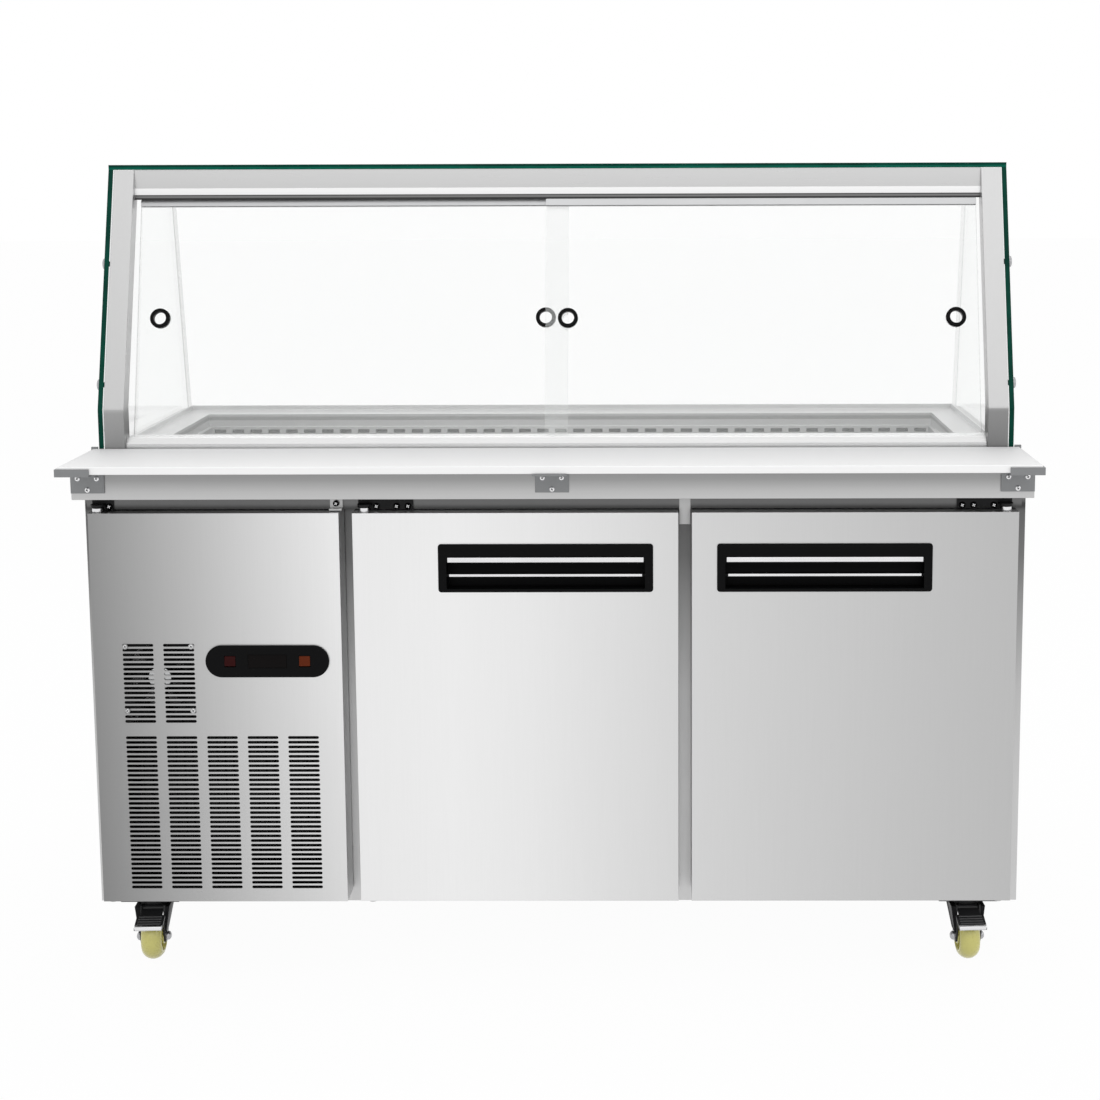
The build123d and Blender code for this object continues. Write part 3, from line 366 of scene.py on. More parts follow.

# %% [markdown]
# ## Cutting board
#
# The board is a slab of white polyethylene. Its front edge faces the light and gets a painted
# highlight, the palest part, and the top has painted light that grows a little paler towards the
# operator. Both follow from Y alone: two whites mix slowly over the top, and one comparison picks
# out the edge.

# %% Cutting board
BOARD_FRONT, BOARD_BACK = (0.76, 0.76, 0.76, 1), (0.62, 0.62, 0.625, 1)
BOARD_EDGE_HIGHLIGHT = (0.92, 0.92, 0.92, 1)
board_paint = Paint("board_white")
board_front, board_back = reach("cutting_board", "y")
board_share = (board_paint.along("Y") - board_front) / (board_back - board_front)
board_grain = board_paint.noise(scale=500.0, detail=2.0)
# Painted light: the top paler towards the operator, with a fine grain.
board_top = board_paint.mix(board_share + board_grain * 0.1, BOARD_FRONT, BOARD_BACK)
# Painted highlight on the front edge, which faces the light.
is_edge = board_paint.along("Y") < board_front + HAIR
board_white = board_paint.set(Base_Color=board_paint.mix(is_edge, board_top, BOARD_EDGE_HIGHLIGHT),
                              Roughness=board_grain * 0.12 + 0.48,
                              Normal=board_paint.bump(board_grain, strength=0.06))
print("board depth:", round(board_back - board_front, 3), "m")

# %% [markdown]
# ## Hinge finish
#
# The upper hinge brackets are black, the lower ones bare zinc. They are one CAD node, so the height
# decides: one comparison on Z mixes the two colours.

# %% Hinge finish
BLACK_COAT = ((0.005, 0.005, 0.006, 1), (0.012, 0.012, 0.013, 1))
BARE_ZINC = (grey(188), grey(205))
hinge_paint = Paint("hinge_finish")
hinge_patch = hinge_paint.noise(scale=30.0)
upper_tone = hinge_paint.mix(hinge_patch, *BLACK_COAT)
lower_tone = hinge_paint.mix(hinge_patch, *BARE_ZINC)
is_lower = hinge_paint.along("Z") < (DOOR_BOTTOM + DOOR_TOP) / 2
hinge_finish = hinge_paint.set(Base_Color=hinge_paint.mix(is_lower, upper_tone, lower_tone),
                               Roughness=hinge_patch * 0.15 + 0.35, Specular_IOR_Level=0.2)
print("hinges change finish at", round((DOOR_BOTTOM + DOOR_TOP) / 2, 3), "m")

# %% [markdown]
# ## Fin packs
#
# A coil is hundreds of thin fins on a few cross tubes. Modelling each one would cost a great many
# faces for a part that only shows through slots, so two waves stand in for them: a fine one paints
# shade into the gaps between fins, and a coarse one up the coil shows the tubes as paler bands.

# %% Fin packs
FIN_PITCH, TUBE_PITCH = 0.0036, 0.0234


def fins(name, axis, dark, pale):
    """Fins side by side along an axis, between two screen tones."""
    paint = Paint(name)
    stripe = (paint.along(axis) * (math.tau / FIN_PITCH)).sine() * 0.5 + 0.5
    tubes = (paint.along("Z") * (math.tau / TUBE_PITCH)).sine()
    # Painted shade in the gaps between fins, plus the paler tubes.
    band = stripe * 0.35 + (tubes > 0.7) * 0.5
    dull = paint.noise(scale=20.0)
    tone = paint.mix(band + dull * 0.15, grey(dark), grey(pale))
    return paint.set(Base_Color=tone, Metallic=0.6, Roughness=dull * 0.2 + 0.35,
                     Normal=paint.bump(stripe, strength=0.4, distance=0.001))


condenser_fins = fins("condenser_fins", "X", dark=5, pale=52)
evaporator_fins = fins("evaporator_fins", "Y", dark=90, pale=215)
print("fins on the condenser:", round((reach("condenser")[1] - reach("condenser")[0]) / FIN_PITCH))

# %% [markdown]
# ## Glass with green edges
#
# Looking through a clear sheet shows no colour, but light that has travelled inside it leaves
# through the cut edges deep green. The big faces and the edges are told apart by the direction
# they face, so one material serves the whole sheet: a see-through part with a faint mirror on the
# faces, and a dark green one on the edges. Edges that butt against another sheet, and the thin
# ones of the panes, stay pale, so green is kept to the operator's side of a given Y and fades out
# behind it. The top sheet's edge is brighter in its lower half, where it gathers light from below.

# %% Glass
GREEN_FADE = 0.2
DEEP_GREEN, LIT_GREEN = (0.0003, 0.014, 0.01, 1), (0.001, 0.11, 0.07, 1)
LIT_SHARE = 0.55
PALE_EDGE, PALE_TONE = 0.3, 150
FACE_LIMIT = 0.8


def glass(name, facing, green_until, veil=1.0, sheen=0.0, bright_under=-1.0):
    """A sheet whose big faces look along facing. veil and sheen grey the view through it, and the
    cut edge is brighter below a given height."""
    paint = Paint(name)
    normal = paint.node("ShaderNodeTexCoord", out="Normal")
    across = abs(paint.node("ShaderNodeVectorMath", {0: normal, 1: facing}, out="Value",
                            operation="DOT_PRODUCT"))
    patch = paint.noise(scale=25.0)
    # Painted highlight on the cut edge below the given height, over random patches.
    lit = patch * 0.6 + (paint.along("Z") < bright_under) * LIT_SHARE
    green = paint.mix(lit, DEEP_GREEN, LIT_GREEN)
    is_green = paint.node("ShaderNodeClamp", {"Value": 1 - (paint.along("Y") - green_until) / GREEN_FADE})
    cut = paint.mix(is_green, grey(PALE_TONE), green)
    paint.set(Base_Color=cut, Roughness=patch * 0.1 + 0.12, Specular_IOR_Level=0.06)
    clear = paint.node("ShaderNodeBsdfTransparent", {"Color": (veil, veil, veil, 1)})
    mirror = paint.node("ShaderNodeBsdfGlossy", {"Color": (0.9, 0.92, 0.91, 1), "Roughness": 0.02})
    glint = paint.node("ShaderNodeLayerWeight", {"Blend": 0.12}, out="Fresnel")
    face = paint.node("ShaderNodeMixShader", {0: glint * 0.25 + sheen, 1: clear, 2: mirror})
    edge = Wire(paint, paint.shader.outputs[0])
    solid = (across < FACE_LIMIT) * (is_green * (1 - PALE_EDGE) + PALE_EDGE)
    sheet = paint.node("ShaderNodeMixShader", {0: solid, 1: face, 2: edge})
    paint.feed(paint.output, {"Surface": sheet})
    return paint.material


PANE_LEAN = math.radians(14.7)
PANE_FACING = Vector((0.0, -math.cos(PANE_LEAN), math.sin(PANE_LEAN)))
CUSTOMER_RISE, CUSTOMER_LEAN = 461.0, 76.0
CUSTOMER_FACING = Vector((0.0, CUSTOMER_RISE, CUSTOMER_LEAN)).normalized()
NEVER, MIDDLE = -1.0, 0.0
pane_glass = glass("pane_glass", PANE_FACING, green_until=NEVER, veil=0.955, sheen=0.09)
side_glass = glass("side_glass", (1, 0, 0), green_until=MIDDLE)
customer_glass = glass("customer_glass", CUSTOMER_FACING, green_until=NEVER)
top_glass = glass("top_glass", (0, 0, 1), green_until=MIDDLE, bright_under=sum(reach("top_glass", "z")) / 2)
print("glass:", [material.name for material in bpy.data.materials if "glass" in material.name])

# %% [markdown]
# ## Dressing the CAD nodes
#
# Each CAD node takes a material by name. Folded and cast parts are never knife sharp, so the
# visible ones also get a small bevel that catches a line of light along their edges.

# %% Materials for the CAD nodes
SIDES = ("left", "right")
CASTORS = ("front_left", "front_right", "rear_left", "rear_right")
finishes = {
    "service_panel": service_steel, "left_door_skin": left_door_steel, "right_door_skin": right_door_steel,
    "worktop": apron_steel, "front_frame": frame_steel, "left_side_panel": side_steel,
    "right_side_panel": side_steel, "rear_panel": side_steel, "canopy_posts": post_steel,
    "canopy_beam": beam_steel, "bottom_track": track_steel, "pan_well": well_steel,
    "base_panel": base_steel, "bay_partition": inner_sheet, "cutting_board": board_white,
    "board_brackets": bracket_grey, "control_fascia": black_gloss, "hinge_brackets": hinge_finish,
    "panel_catch": side_steel, "caster_plates": castor_black, "vent_fan_frame": black_plastic,
    "condenser": condenser_fins, "evaporator": evaporator_fins, "compressor": black_metal,
    "top_glass": top_glass, "side_glasses": side_glass, "customer_glass": customer_glass,
    "power_switch": rocker_red, "light_switch": rocker_orange, "shelves": wire_bright,
    "board_screws": bright_trim, "glass_standoffs": nut_zinc, "vent_fan_rotor": black_plastic,
    "condenser_fan_rotor": black_plastic, "evaporator_fan_rotor": black_plastic,
}
for side in SIDES:
    finishes[side + "_door_liner"] = liner_white
    finishes[side + "_door_gasket"] = seal_rubber
    finishes[side + "_handle_housing"] = black_plastic
    finishes[side + "_handle_trim"] = bright_trim
    finishes[side + "_pane"] = pane_glass
    finishes[side + "_pane_channel"] = bright_channel
    finishes[side + "_pane_rings"] = black_plastic
    finishes["front_" + side + "_brake_pedal"] = castor_black
for castor in CASTORS:
    finishes[castor + "_fork"] = castor_black
    finishes[castor + "_wheel"] = wheel_yellow
for name, node in nodes.items():
    node.data.materials.clear()
    node.data.materials.append(finishes[name])
print("dressed", len(finishes), "nodes")

# %% Softened edges of the CAD nodes
WELD_UNDER = 0.00001
SOFTEN_OVER = math.radians(40)


def soften(node, width):
    """Rounds a CAD node's sharp edges without touching its mesh."""
    weld = nodes[node].modifiers.new("weld", "WELD")
    weld.merge_threshold = WELD_UNDER
    bevel = nodes[node].modifiers.new("bevel", "BEVEL")
    bevel.width = width
    bevel.segments = 2
    bevel.limit_method = "ANGLE"
    bevel.angle_limit = SOFTEN_OVER
    bevel.harden_normals = True


rounded = {"canopy_posts": 1.2, "canopy_beam": 0.8, "bottom_track": 0.8, "board_brackets": 0.5,
           "left_handle_housing": 0.7, "right_handle_housing": 0.7, "control_fascia": 0.8,
           "hinge_brackets": 0.6, "panel_catch": 0.5, "worktop": 0.8, "compressor": 1.0,
           "front_left_brake_pedal": 1.0, "front_right_brake_pedal": 1.0}
for castor in CASTORS:
    rounded[castor + "_fork"] = 0.6
for name, width in rounded.items():
    soften(name, width * MM)
print("softened", len(rounded), "nodes")

# %% [markdown]
# ## Tools for new pieces
#
# Every new piece starts in an empty bmesh, helpers add forms to it, and one function turns it into
# an object that moves with its CAD body. A turned form could be a cylinder with loop cuts, but
# spinning a drawn profile gives the exact curve in one step and keeps the face count low.

# %% Joining, placing and finishing
def join(bm, part, place=Matrix.Identity(4)):
    """Moves a part into place and adds it to bm."""
    part.transform(place)
    mesh = bpy.data.meshes.new("part")
    part.to_mesh(mesh)
    part.free()
    bm.from_mesh(mesh)
    bpy.data.meshes.remove(mesh)


def aim(axis, at):
    """A placing matrix whose local Z runs along an axis."""
    return Matrix.Translation(Vector(at)) @ Vector(axis).to_track_quat("Z", "Y").to_matrix().to_4x4()


SMOOTH_UNDER = math.radians(38)


def piece(name, bm, body, material, replaces=()):
    """Turns a bmesh into a finished object that rides with a CAD body."""
    bmesh.ops.recalc_face_normals(bm, faces=bm.faces[:])
    mesh = bpy.data.meshes.new(name)
    bm.to_mesh(mesh)
    bm.free()
    mesh.materials.append(material)
    mesh.shade_smooth()
    mesh.set_sharp_from_angle(angle=SMOOTH_UNDER)
    made = bpy.data.objects.new(name, mesh)
    scene.collection.objects.link(made)
    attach(made, body)
    if replaces:
        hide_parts(*replaces)
    print(name, len(mesh.polygons), "faces")

# %% Turned forms
SAME_SPOT = 0.000001


def add_turned(bm, profile, place, steps=40):
    """A (radius, height) profile spun about the local Z axis."""
    part = bmesh.new()
    dots = [part.verts.new((radius, 0.0, height)) for radius, height in profile]
    lines = [part.edges.new(pair) for pair in zip(dots, dots[1:])]
    bmesh.ops.spin(part, geom=dots + lines, cent=(0, 0, 0), axis=(0, 0, 1), angle=math.tau,
                   steps=steps, use_merge=True)
    bmesh.ops.remove_doubles(part, verts=part.verts[:], dist=SAME_SPOT)
    bmesh.ops.recalc_face_normals(part, faces=part.faces[:])
    join(bm, part, place)


def scaled(profile, side=1):
    """A profile in millimetres, brought to metres and to one side."""
    return [(radius * MM, side * height * MM) for radius, height in profile]


def mirrored(profile):
    """A half section with its mirror image."""
    return profile + [(radius, -height) for radius, height in reversed(profile)]


def closed(profile):
    """A section in metres that ends where it starts."""
    return scaled(profile + profile[:1])

# %% [markdown]
# ## Castor wheels
#
# A castor wheel is one turned form: a soft rounded tread, dished sides and a hub. Half its section
# is drawn and mirrored, and a spin about the axle makes the wheel. A short profile, spun on each end
# of the axle, is a domed nut.

# %% Castor wheels
TREAD = [(4.1, -17.6), (12.5, -17.6), (13.5, -16.4), (13.5, -10.0), (21.5, -9.2), (22.4, -14.0),
         (23.6, -16.6), (25.2, -16.9), (28.4, -16.2), (31.6, -13.8), (34.4, -10.4), (36.4, -6.4),
         (37.4, -2.0)]
NUT = [(0.0, 28.6), (3.2, 28.2), (5.6, 26.9), (7.0, 25.1), (7.3, 23.6), (7.3, 22.3), (8.6, 21.9),
       (8.6, 21.1)]
for castor in CASTORS:
    roll = joints[castor + "_roll"]
    place = aim(roll["axis"], roll["pos_m"])
    wheel = bmesh.new()
    add_turned(wheel, closed(mirrored(TREAD)), place, steps=56)
    piece(castor + "_tread", wheel, castor + "_roller", wheel_yellow,
          [castor + "_wheel"])
    bolts = bmesh.new()
    for side in (-1, 1):
        add_turned(bolts, scaled(NUT, side), place, steps=28)
    piece(castor + "_axle_bolt", bolts, castor + "_castor", nut_zinc)

# %% [markdown]
# ## Fork cheeks
#
# A castor fork is pressed from one sheet, and its legs flare outwards below the crown. The CAD legs
# are flat plates, so a wedge on each outer face gives the flare. It starts as a cube, whose corners
# move to the leg's outline before the edges are rounded.

# %% Fork cheeks
LEG_FACE = 21.0
CHEEK_FOOT = {"z": 48.0, "out": 22.4, "ends": (-39.0, -17.0)}
CHEEK_TOP = {"z": 91.0, "out": 28.0, "ends": (-36.0, 15.0)}
CHEEK_ROUND = 0.8


def add_cheek(bm, side, place):
    """One wedge on a fork leg, in the castor's own axes: X across, Y ahead, Z up."""
    part = bmesh.new()
    bmesh.ops.create_cube(part, size=1.0)
    for vert in part.verts:
        level = CHEEK_TOP if vert.co.z > 0 else CHEEK_FOOT
        across = level["out"] if vert.co.x > 0 else LEG_FACE
        vert.co = Vector((side * across, level["ends"][int(vert.co.y > 0)], level["z"])) * MM
    bmesh.ops.bevel(part, geom=part.edges[:], offset=CHEEK_ROUND * MM, segments=3, profile=0.5,
                    affect="EDGES", material=-1)
    bmesh.ops.recalc_face_normals(part, faces=part.faces[:])
    join(bm, part, place)


for castor in CASTORS:
    kingpin = Vector(joints[castor + "_swivel"]["pos_m"])
    kingpin.z = 0.0
    trail = kingpin - Vector(joints[castor + "_roll"]["pos_m"])
    trail.z = 0.0
    ahead = trail.normalized()
    turn = Matrix((ahead.cross((0, 0, 1)), ahead, Vector((0, 0, 1)))).transposed().to_4x4()
    cheeks = bmesh.new()
    for side in (-1, 1):
        add_cheek(cheeks, side, Matrix.Translation(kingpin) @ turn)
    piece(castor + "_fork_cheeks", cheeks, castor + "_castor", black_metal)

# %% [markdown]
# ## Swivel races
#
# Between plate and fork sits a pressed ball race, a shallow ring. Its section is closed, and
# spinning it about the kingpin makes the ring.

# %% Swivel races
RACE = [(27.0, 91.9), (29.4, 93.5), (30.2, 96.0), (29.4, 99.6), (27.0, 100.4)]
for castor in CASTORS:
    swivel = Vector(joints[castor + "_swivel"]["pos_m"])
    race = bmesh.new()
    add_turned(race, closed(RACE), Matrix.Translation((swivel.x, swivel.y, 0)))
    piece(castor + "_race", race, castor + "_castor", castor_black)

# %% [markdown]
# ## Brake pedals
#
# The front pedals carry a bright folded lip along their tip and four ribs for the shoe's grip. All
# of them are short bars with softened edges: a cube, stretched between two corners and bevelled,
# then turned to the pedal's slope.

# %% Softened blocks
def add_block(bm, low, high, soft=0.0, place=Matrix.Identity(4)):
    """A box between two corners with softened edges."""
    low, high = Vector(low), Vector(high)
    size = Matrix.Diagonal((*(high - low), 1.0))
    part = bmesh.new()
    bmesh.ops.create_cube(part, size=1.0, matrix=Matrix.Translation((low + high) / 2) @ size)
    if soft:
        bmesh.ops.bevel(part, geom=part.edges[:], offset=soft, segments=3, profile=0.5,
                        affect="EDGES", material=-1)
    join(bm, part, place)

# %% Pedal lips and ribs
PEDAL_REACH = (47.0, -19.0)
LIP = ((-0.0225, 0.0455, -0.0052), (0.0225, 0.0512, 0.0036))
LIP_ROUND = 0.0016
RIBS, RIB_FIRST, RIB_PITCH = 4, 0.023, 0.0055
RIB_HALF, RIB_WIDTH, RIB_ROUND = 0.019, 0.0026, 0.0007
RIB_HEIGHTS = (-0.0032, -0.0016)
for side in SIDES:
    press = joints["front_" + side + "_brake_press"]
    across = Vector(press["axis"])
    ahead = Vector((across.y, -across.x, 0.0))
    slope = (ahead * PEDAL_REACH[0] + Vector((0, 0, PEDAL_REACH[1]))).normalized()
    turn = Matrix((across, slope, across.cross(slope))).transposed().to_4x4()
    place = Matrix.Translation(Vector(press["pos_m"])) @ turn
    lip = bmesh.new()
    add_block(lip, *LIP, LIP_ROUND, place)
    piece(side + "_pedal_lip", lip, "front_" + side + "_brake", bright_trim)
    ribs = bmesh.new()
    for rib in range(RIBS):
        start = RIB_FIRST + rib * RIB_PITCH
        add_block(ribs, (-RIB_HALF, start, RIB_HEIGHTS[0]),
                  (RIB_HALF, start + RIB_WIDTH, RIB_HEIGHTS[1]), RIB_ROUND, place)
    piece(side + "_pedal_ribs", ribs, "front_" + side + "_brake", rib_black)

# %% [markdown]
# ## Finger rings
#
# Each sliding pane is moved by a finger put through a black plastic ring. The CAD ring is two
# flat washers and a sleeve. Turning a rounded section gives the soft, shiny lip that a hand feels.
# Both rings of a pane are one CAD node, so a helper finds the boxes of its loose solids first.

# %% Loose solids of a CAD node
def solids(node):
    """The (low, high) box of every loose solid in a CAD node, from left to right."""
    bm = bmesh.new()
    bm.from_mesh(nodes[node].data)
    bmesh.ops.remove_doubles(bm, verts=bm.verts[:], dist=SAME_SPOT)
    left = set(bm.verts)
    boxes = []
    while left:
        island = {left.pop()}
        front = list(island)
        while front:
            vert = front.pop()
            fresh = {edge.other_vert(vert) for edge in vert.link_edges} - island
            island |= fresh
            front.extend(fresh)
        left -= island
        spots = [vert.co for vert in island]
        low = Vector([min(spot[axis] for spot in spots) for axis in range(3)])
        high = Vector([max(spot[axis] for spot in spots) for axis in range(3)])
        boxes.append((low, high))
    bm.free()
    return sorted(boxes, key=lambda box: (round(box[0].x, 4), box[0].z))


def middle(box):
    """The centre of a box."""
    return (box[0] + box[1]) / 2

# %% Finger rings
RING = [(10.2, -4.2), (11.0, -4.7), (14.0, -4.7), (16.0, -4.0), (16.5, -2.9), (16.3, -2.5), (12.8, -2.5)]
for side in SIDES:
    rings = bmesh.new()
    for box in solids(side + "_pane_rings"):
        add_turned(rings, closed(mirrored(RING)), aim(PANE_FACING, middle(box)), steps=48)
    piece(side + "_rings", rings, side + "_slider", black_gloss,
          [side + "_pane_rings"])

# %% [markdown]
# ## Glass standoffs
#
# Four polished buttons clamp the side glasses to the posts. The button is a turned dome on a
# stud, with a washer between glass and post.

# %% Glass standoffs
STANDOFF = [(0.0, 0.0), (9.5, 0.0), (9.5, 1.0), (4.0, 1.0), (4.0, 9.0), (9.0, 9.0), (9.5, 9.6),
            (9.5, 12.4), (8.6, 13.8), (6.5, 14.6), (3.0, 14.9), (0.0, 15.0)]
standoffs = bmesh.new()
for low, high in solids("glass_standoffs"):
    side = 1 if low.x > 0 else -1
    foot = Vector((low.x if side > 0 else high.x, (low.y + high.y) / 2, (low.z + high.z) / 2))
    add_turned(standoffs, scaled(STANDOFF), aim((side, 0, 0), foot), steps=36)
piece("standoff_buttons", standoffs, "cabinet", nut_zinc, ["glass_standoffs"])

# %% [markdown]
# ## Screws
#
# A screw head is a low turned dome with a recess. Two thin crossed bars in another tone read as the
# recess at this size, and they cost far fewer faces than a real cut.

# %% Screw heads
HEAD = [(0.0, 2.5), (1.6, 2.45), (3.2, 2.0), (4.3, 1.0), (4.5, 0.0), (0.0, 0.0)]
RECESS = ((-0.0021, -0.0005, 0.0018), (0.0021, 0.0005, 0.00252))
RECESS_TURN = 0.5


def add_head(heads, recesses, at, scale):
    """A cross-head screw whose head faces the operator."""
    place = aim((0, -1, 0), at) @ Matrix.Scale(scale, 4)
    add_turned(heads, scaled(HEAD), place, steps=24)
    for turn in (0.0, math.pi / 2):
        add_block(recesses, *RECESS, place=place @ Matrix.Rotation(turn + RECESS_TURN, 4, "Z"))


def screws(name, body, places, material, inside, scale=1.0, replaces=()):
    """Two pieces: the heads of a group of screws and their recesses."""
    heads, recesses = bmesh.new(), bmesh.new()
    for at in places:
        add_head(heads, recesses, at, scale)
    piece(name, heads, body, material, replaces)
    piece(name + "_recess", recesses, body, inside)


def back_of(box):
    """The middle of a box's rear face."""
    centre = middle(box)
    return Vector((centre.x, box[1].y, centre.z))

# %% Places of the screws
board_places = [back_of(box) for box in solids("board_screws")]
screws("board_screw_heads", "cabinet", board_places, bright_trim, black_plastic, replaces=["board_screws"])
PLATE, HINGE_RISE = 0.004, 0.0068
HINGE_SCREWS = {"left_door_swing": (0.018, 0.05, 0.068), "right_door_swing": (-0.018, -0.05, -0.068),
                "service_panel_swing": (0.016,)}
rail_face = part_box("front_frame")[0].y
hinge_places = []
for joint, steps in HINGE_SCREWS.items():
    pin = Vector(joints[joint]["pos_m"])
    hinge_places += [Vector((pin.x + step, rail_face - PLATE, DOOR_TOP + HINGE_RISE)) for step in steps]
screws("hinge_screw_heads", "cabinet", hinge_places, black_gloss, bright_trim, scale=1.2)
CATCH_PLATE, CATCH_RISE = 0.006, 0.01
catch_low, catch_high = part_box("panel_catch")
catch_place = Vector(((catch_low.x + catch_high.x) / 2, rail_face - CATCH_PLATE, catch_low.z + CATCH_RISE))
screws("catch_screw_head", "cabinet", [catch_place], black_gloss, bright_trim, scale=1.1)
SCREW_LIMIT = 0.02
fan_places = [back_of(box) for box in solids("service_panel") if box[1].x - box[0].x < SCREW_LIMIT]
screws("fan_screw_heads", "service_door", fan_places, bright_trim, black_plastic)

# %% [markdown]
# ## Hinge collars
#
# The pivot pins carry a bright collar between bracket and door. A short turned sleeve around the
# pin shows as the small flash of metal at each door's top corner.

# %% Hinge collars
SLEEVE = [(5.02, 0.4), (8.0, 0.4), (8.4, 0.9), (8.4, 6.4), (7.0, 7.8), (5.02, 7.8)]
collars = bmesh.new()
for joint in HINGE_SCREWS:
    pin = Vector(joints[joint]["pos_m"])
    add_turned(collars, closed(SLEEVE), Matrix.Translation((pin.x, pin.y, DOOR_TOP)), steps=32)
piece("hinge_collars", collars, "cabinet", bright_trim)

# %% [markdown]
# ## Handle bars
#
# Two bright bars frame the finger gap of each black handle. The CAD bars are square, so softened
# blocks of the same size take their place and catch a clean highlight.

# %% Handle bars
BAR_ROUND = 0.35
for side in SIDES:
    bars = bmesh.new()
    for low, high in solids(side + "_handle_trim"):
        add_block(bars, low, high, min(high.z - low.z, high.y - low.y) * BAR_ROUND)
    piece(side + "_handle_bars", bars, side + "_door", bright_trim,
          [side + "_handle_trim"])

# %% [markdown]
# ## Mullion plate
#
# Above the middle gap a small bright plate hangs from the top rail and covers its joint with the
# mullion. It is a thin softened block, narrower than the gap so that both doors pass it.

# %% Mullion plate
PLATE_GAP, PLATE_DEPTH, PLATE_ROUND = 0.0015, 0.002, 0.0005
PLATE_DROP, PLATE_RISE = 0.024, 0.022
gap_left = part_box("left_door_skin")[1].x
gap_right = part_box("right_door_skin")[0].x
plate = bmesh.new()
add_block(plate, (gap_left + PLATE_GAP, rail_face - PLATE_DEPTH, DOOR_TOP - PLATE_DROP),
          (gap_right - PLATE_GAP, rail_face, DOOR_TOP + PLATE_RISE), PLATE_ROUND)
piece("mullion_plate", plate, "cabinet", side_steel)

# %% [markdown]
# ## Controls
#
# The rockers are dim coloured caps in a glossy black fascia. A cap is a block with generously
# softened edges, tilted to its resting side. A dark window covers the display between them.

# %% Controls
ROCKER_TILT = math.radians(-8.0)
CAP = ((-0.0087, -0.005, -0.0081), (0.0087, 0.006, 0.0081))
CAP_ROUND = 0.0011
for name, body, material, slot in (("power_switch", "power_rocker", rocker_red, "rocker_red"),
                                   ("light_switch", "light_rocker", rocker_orange, "rocker_orange")):
    pivot = Vector(joints[name + "_rock"]["pos_m"])
    place = Matrix.Translation(pivot) @ Matrix.Rotation(ROCKER_TILT, 4, "X")
    cap = bmesh.new()
    add_block(cap, *CAP, CAP_ROUND, place)
    piece(name + "_cap", cap, body, material, [name])
WINDOW_HALF = (0.0305, 0.0105)
WINDOW_DEPTHS = (0.0002, 0.0011)
WINDOW_ROUND = 0.0003
low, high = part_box("control_fascia")
centre = middle((low, high))
window = bmesh.new()
add_block(window, (centre.x - WINDOW_HALF[0], low.y + WINDOW_DEPTHS[0], centre.z - WINDOW_HALF[1]),
          (centre.x + WINDOW_HALF[0], low.y + WINDOW_DEPTHS[1], centre.z + WINDOW_HALF[1]), WINDOW_ROUND)
piece("display_window", window, "service_door", window_dark)

# %% [markdown]
# ## Fans
#
# A fan blade is a sheet that twists from hub to tip. Bending a small flat grid gives the twist, and
# solidify gives the sheet its thickness. A pale turned disc covers the hub. The same function
# serves the vent fan, the condenser fan and the evaporator fan.

# %% Fan blades
TIP_SWEEP, TIP_NARROW, TIP_FLAT = 0.25, 0.25, 0.45


def add_blade(bm, hub, tip, low, high, start, sweep, thickness):
    """One twisted blade between two radii and two heights."""
    part = bmesh.new()
    bmesh.ops.create_grid(part, x_segments=6, y_segments=5, size=0.5)
    for vert in part.verts:
        out = vert.co.x + 0.5
        share = vert.co.y
        radius = hub + (tip - hub) * out
        angle = start + sweep * share * (1.0 - TIP_NARROW * out) + TIP_SWEEP * out
        height = (low + high) / 2 + (high - low) * share * (1.0 - TIP_FLAT * out)
        vert.co = (radius * math.cos(angle), radius * math.sin(angle), height)
    bmesh.ops.recalc_face_normals(part, faces=part.faces[:])
    bmesh.ops.solidify(part, geom=part.faces[:], thickness=thickness)
    join(bm, part)

# %% Fans
RIM = 0.001
BLADE_FILL, BLADE_THICK = 0.8, 0.0015


def fan(name, hub, blades):
    """A hub with blades that fills the place of a CAD rotor."""
    low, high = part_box(name + "_rotor")
    spin = joints[name + "_spin"]
    axis = Vector(spin["axis"])
    pivot = Vector(spin["pos_m"])
    back, front = sorted(((low - pivot).dot(axis), (high - pivot).dot(axis)))
    tip = max((high - low) - axis * (high - low).dot(axis)) / 2
    rotor = bmesh.new()
    cap = [(0.0, back), (hub * 0.96, back), (hub, back + RIM), (hub, front - 3 * RIM),
           (hub * 0.9, front - RIM), (hub * 0.6, front), (0.0, front)]
    add_turned(rotor, cap, Matrix.Identity(4))
    for blade in range(blades):
        add_blade(rotor, hub * 0.95, tip, back + RIM, front - RIM, math.tau * blade / blades,
                  math.tau / blades * BLADE_FILL, BLADE_THICK)
    rotor.transform(aim(axis, pivot))
    piece(name + "_blades", rotor, name, black_plastic, [name + "_rotor"])
    disc = [(0.0, front + 1.2 * RIM), (hub * 0.8, front + RIM), (hub * 0.9, front + 0.4 * RIM),
            (hub * 0.9, front - RIM)]
    cover = bmesh.new()
    add_turned(cover, disc, aim(axis, pivot))
    piece(name + "_cover", cover, name, bright_channel)


fan("vent_fan", hub=0.020, blades=7)
fan("condenser_fan", hub=0.038, blades=5)
fan("evaporator_fan", hub=0.026, blades=5)

# %% [markdown]
# ## Wire shelves
#
# A shelf is thin round wire, welded onto a frame and two cross rods of thicker wire. Tubes along
# straight lines make them: a circle at each point of the line, bridged to the next. The rails that
# the shelves lie on are plain softened bars.

# %% Tubes
def add_tube(bm, points, radius, steps=12):
    """A round bar that follows a line of points: a circle at each point, bridged to the next."""
    points = [Vector(point) for point in points]
    last = len(points) - 1
    part = bmesh.new()
    rings = []
    for index, point in enumerate(points):
        along = points[min(index + 1, last)] - points[max(index - 1, 0)]
        ring = bmesh.ops.create_circle(part, cap_ends=index in (0, last), radius=radius,
                                       segments=steps, matrix=aim(along, point))["verts"]
        rings.append({edge for vert in ring for edge in vert.link_edges})
    for ring, after in zip(rings, rings[1:]):
        bmesh.ops.bridge_loops(part, edges=list(ring | after))
    join(bm, part)

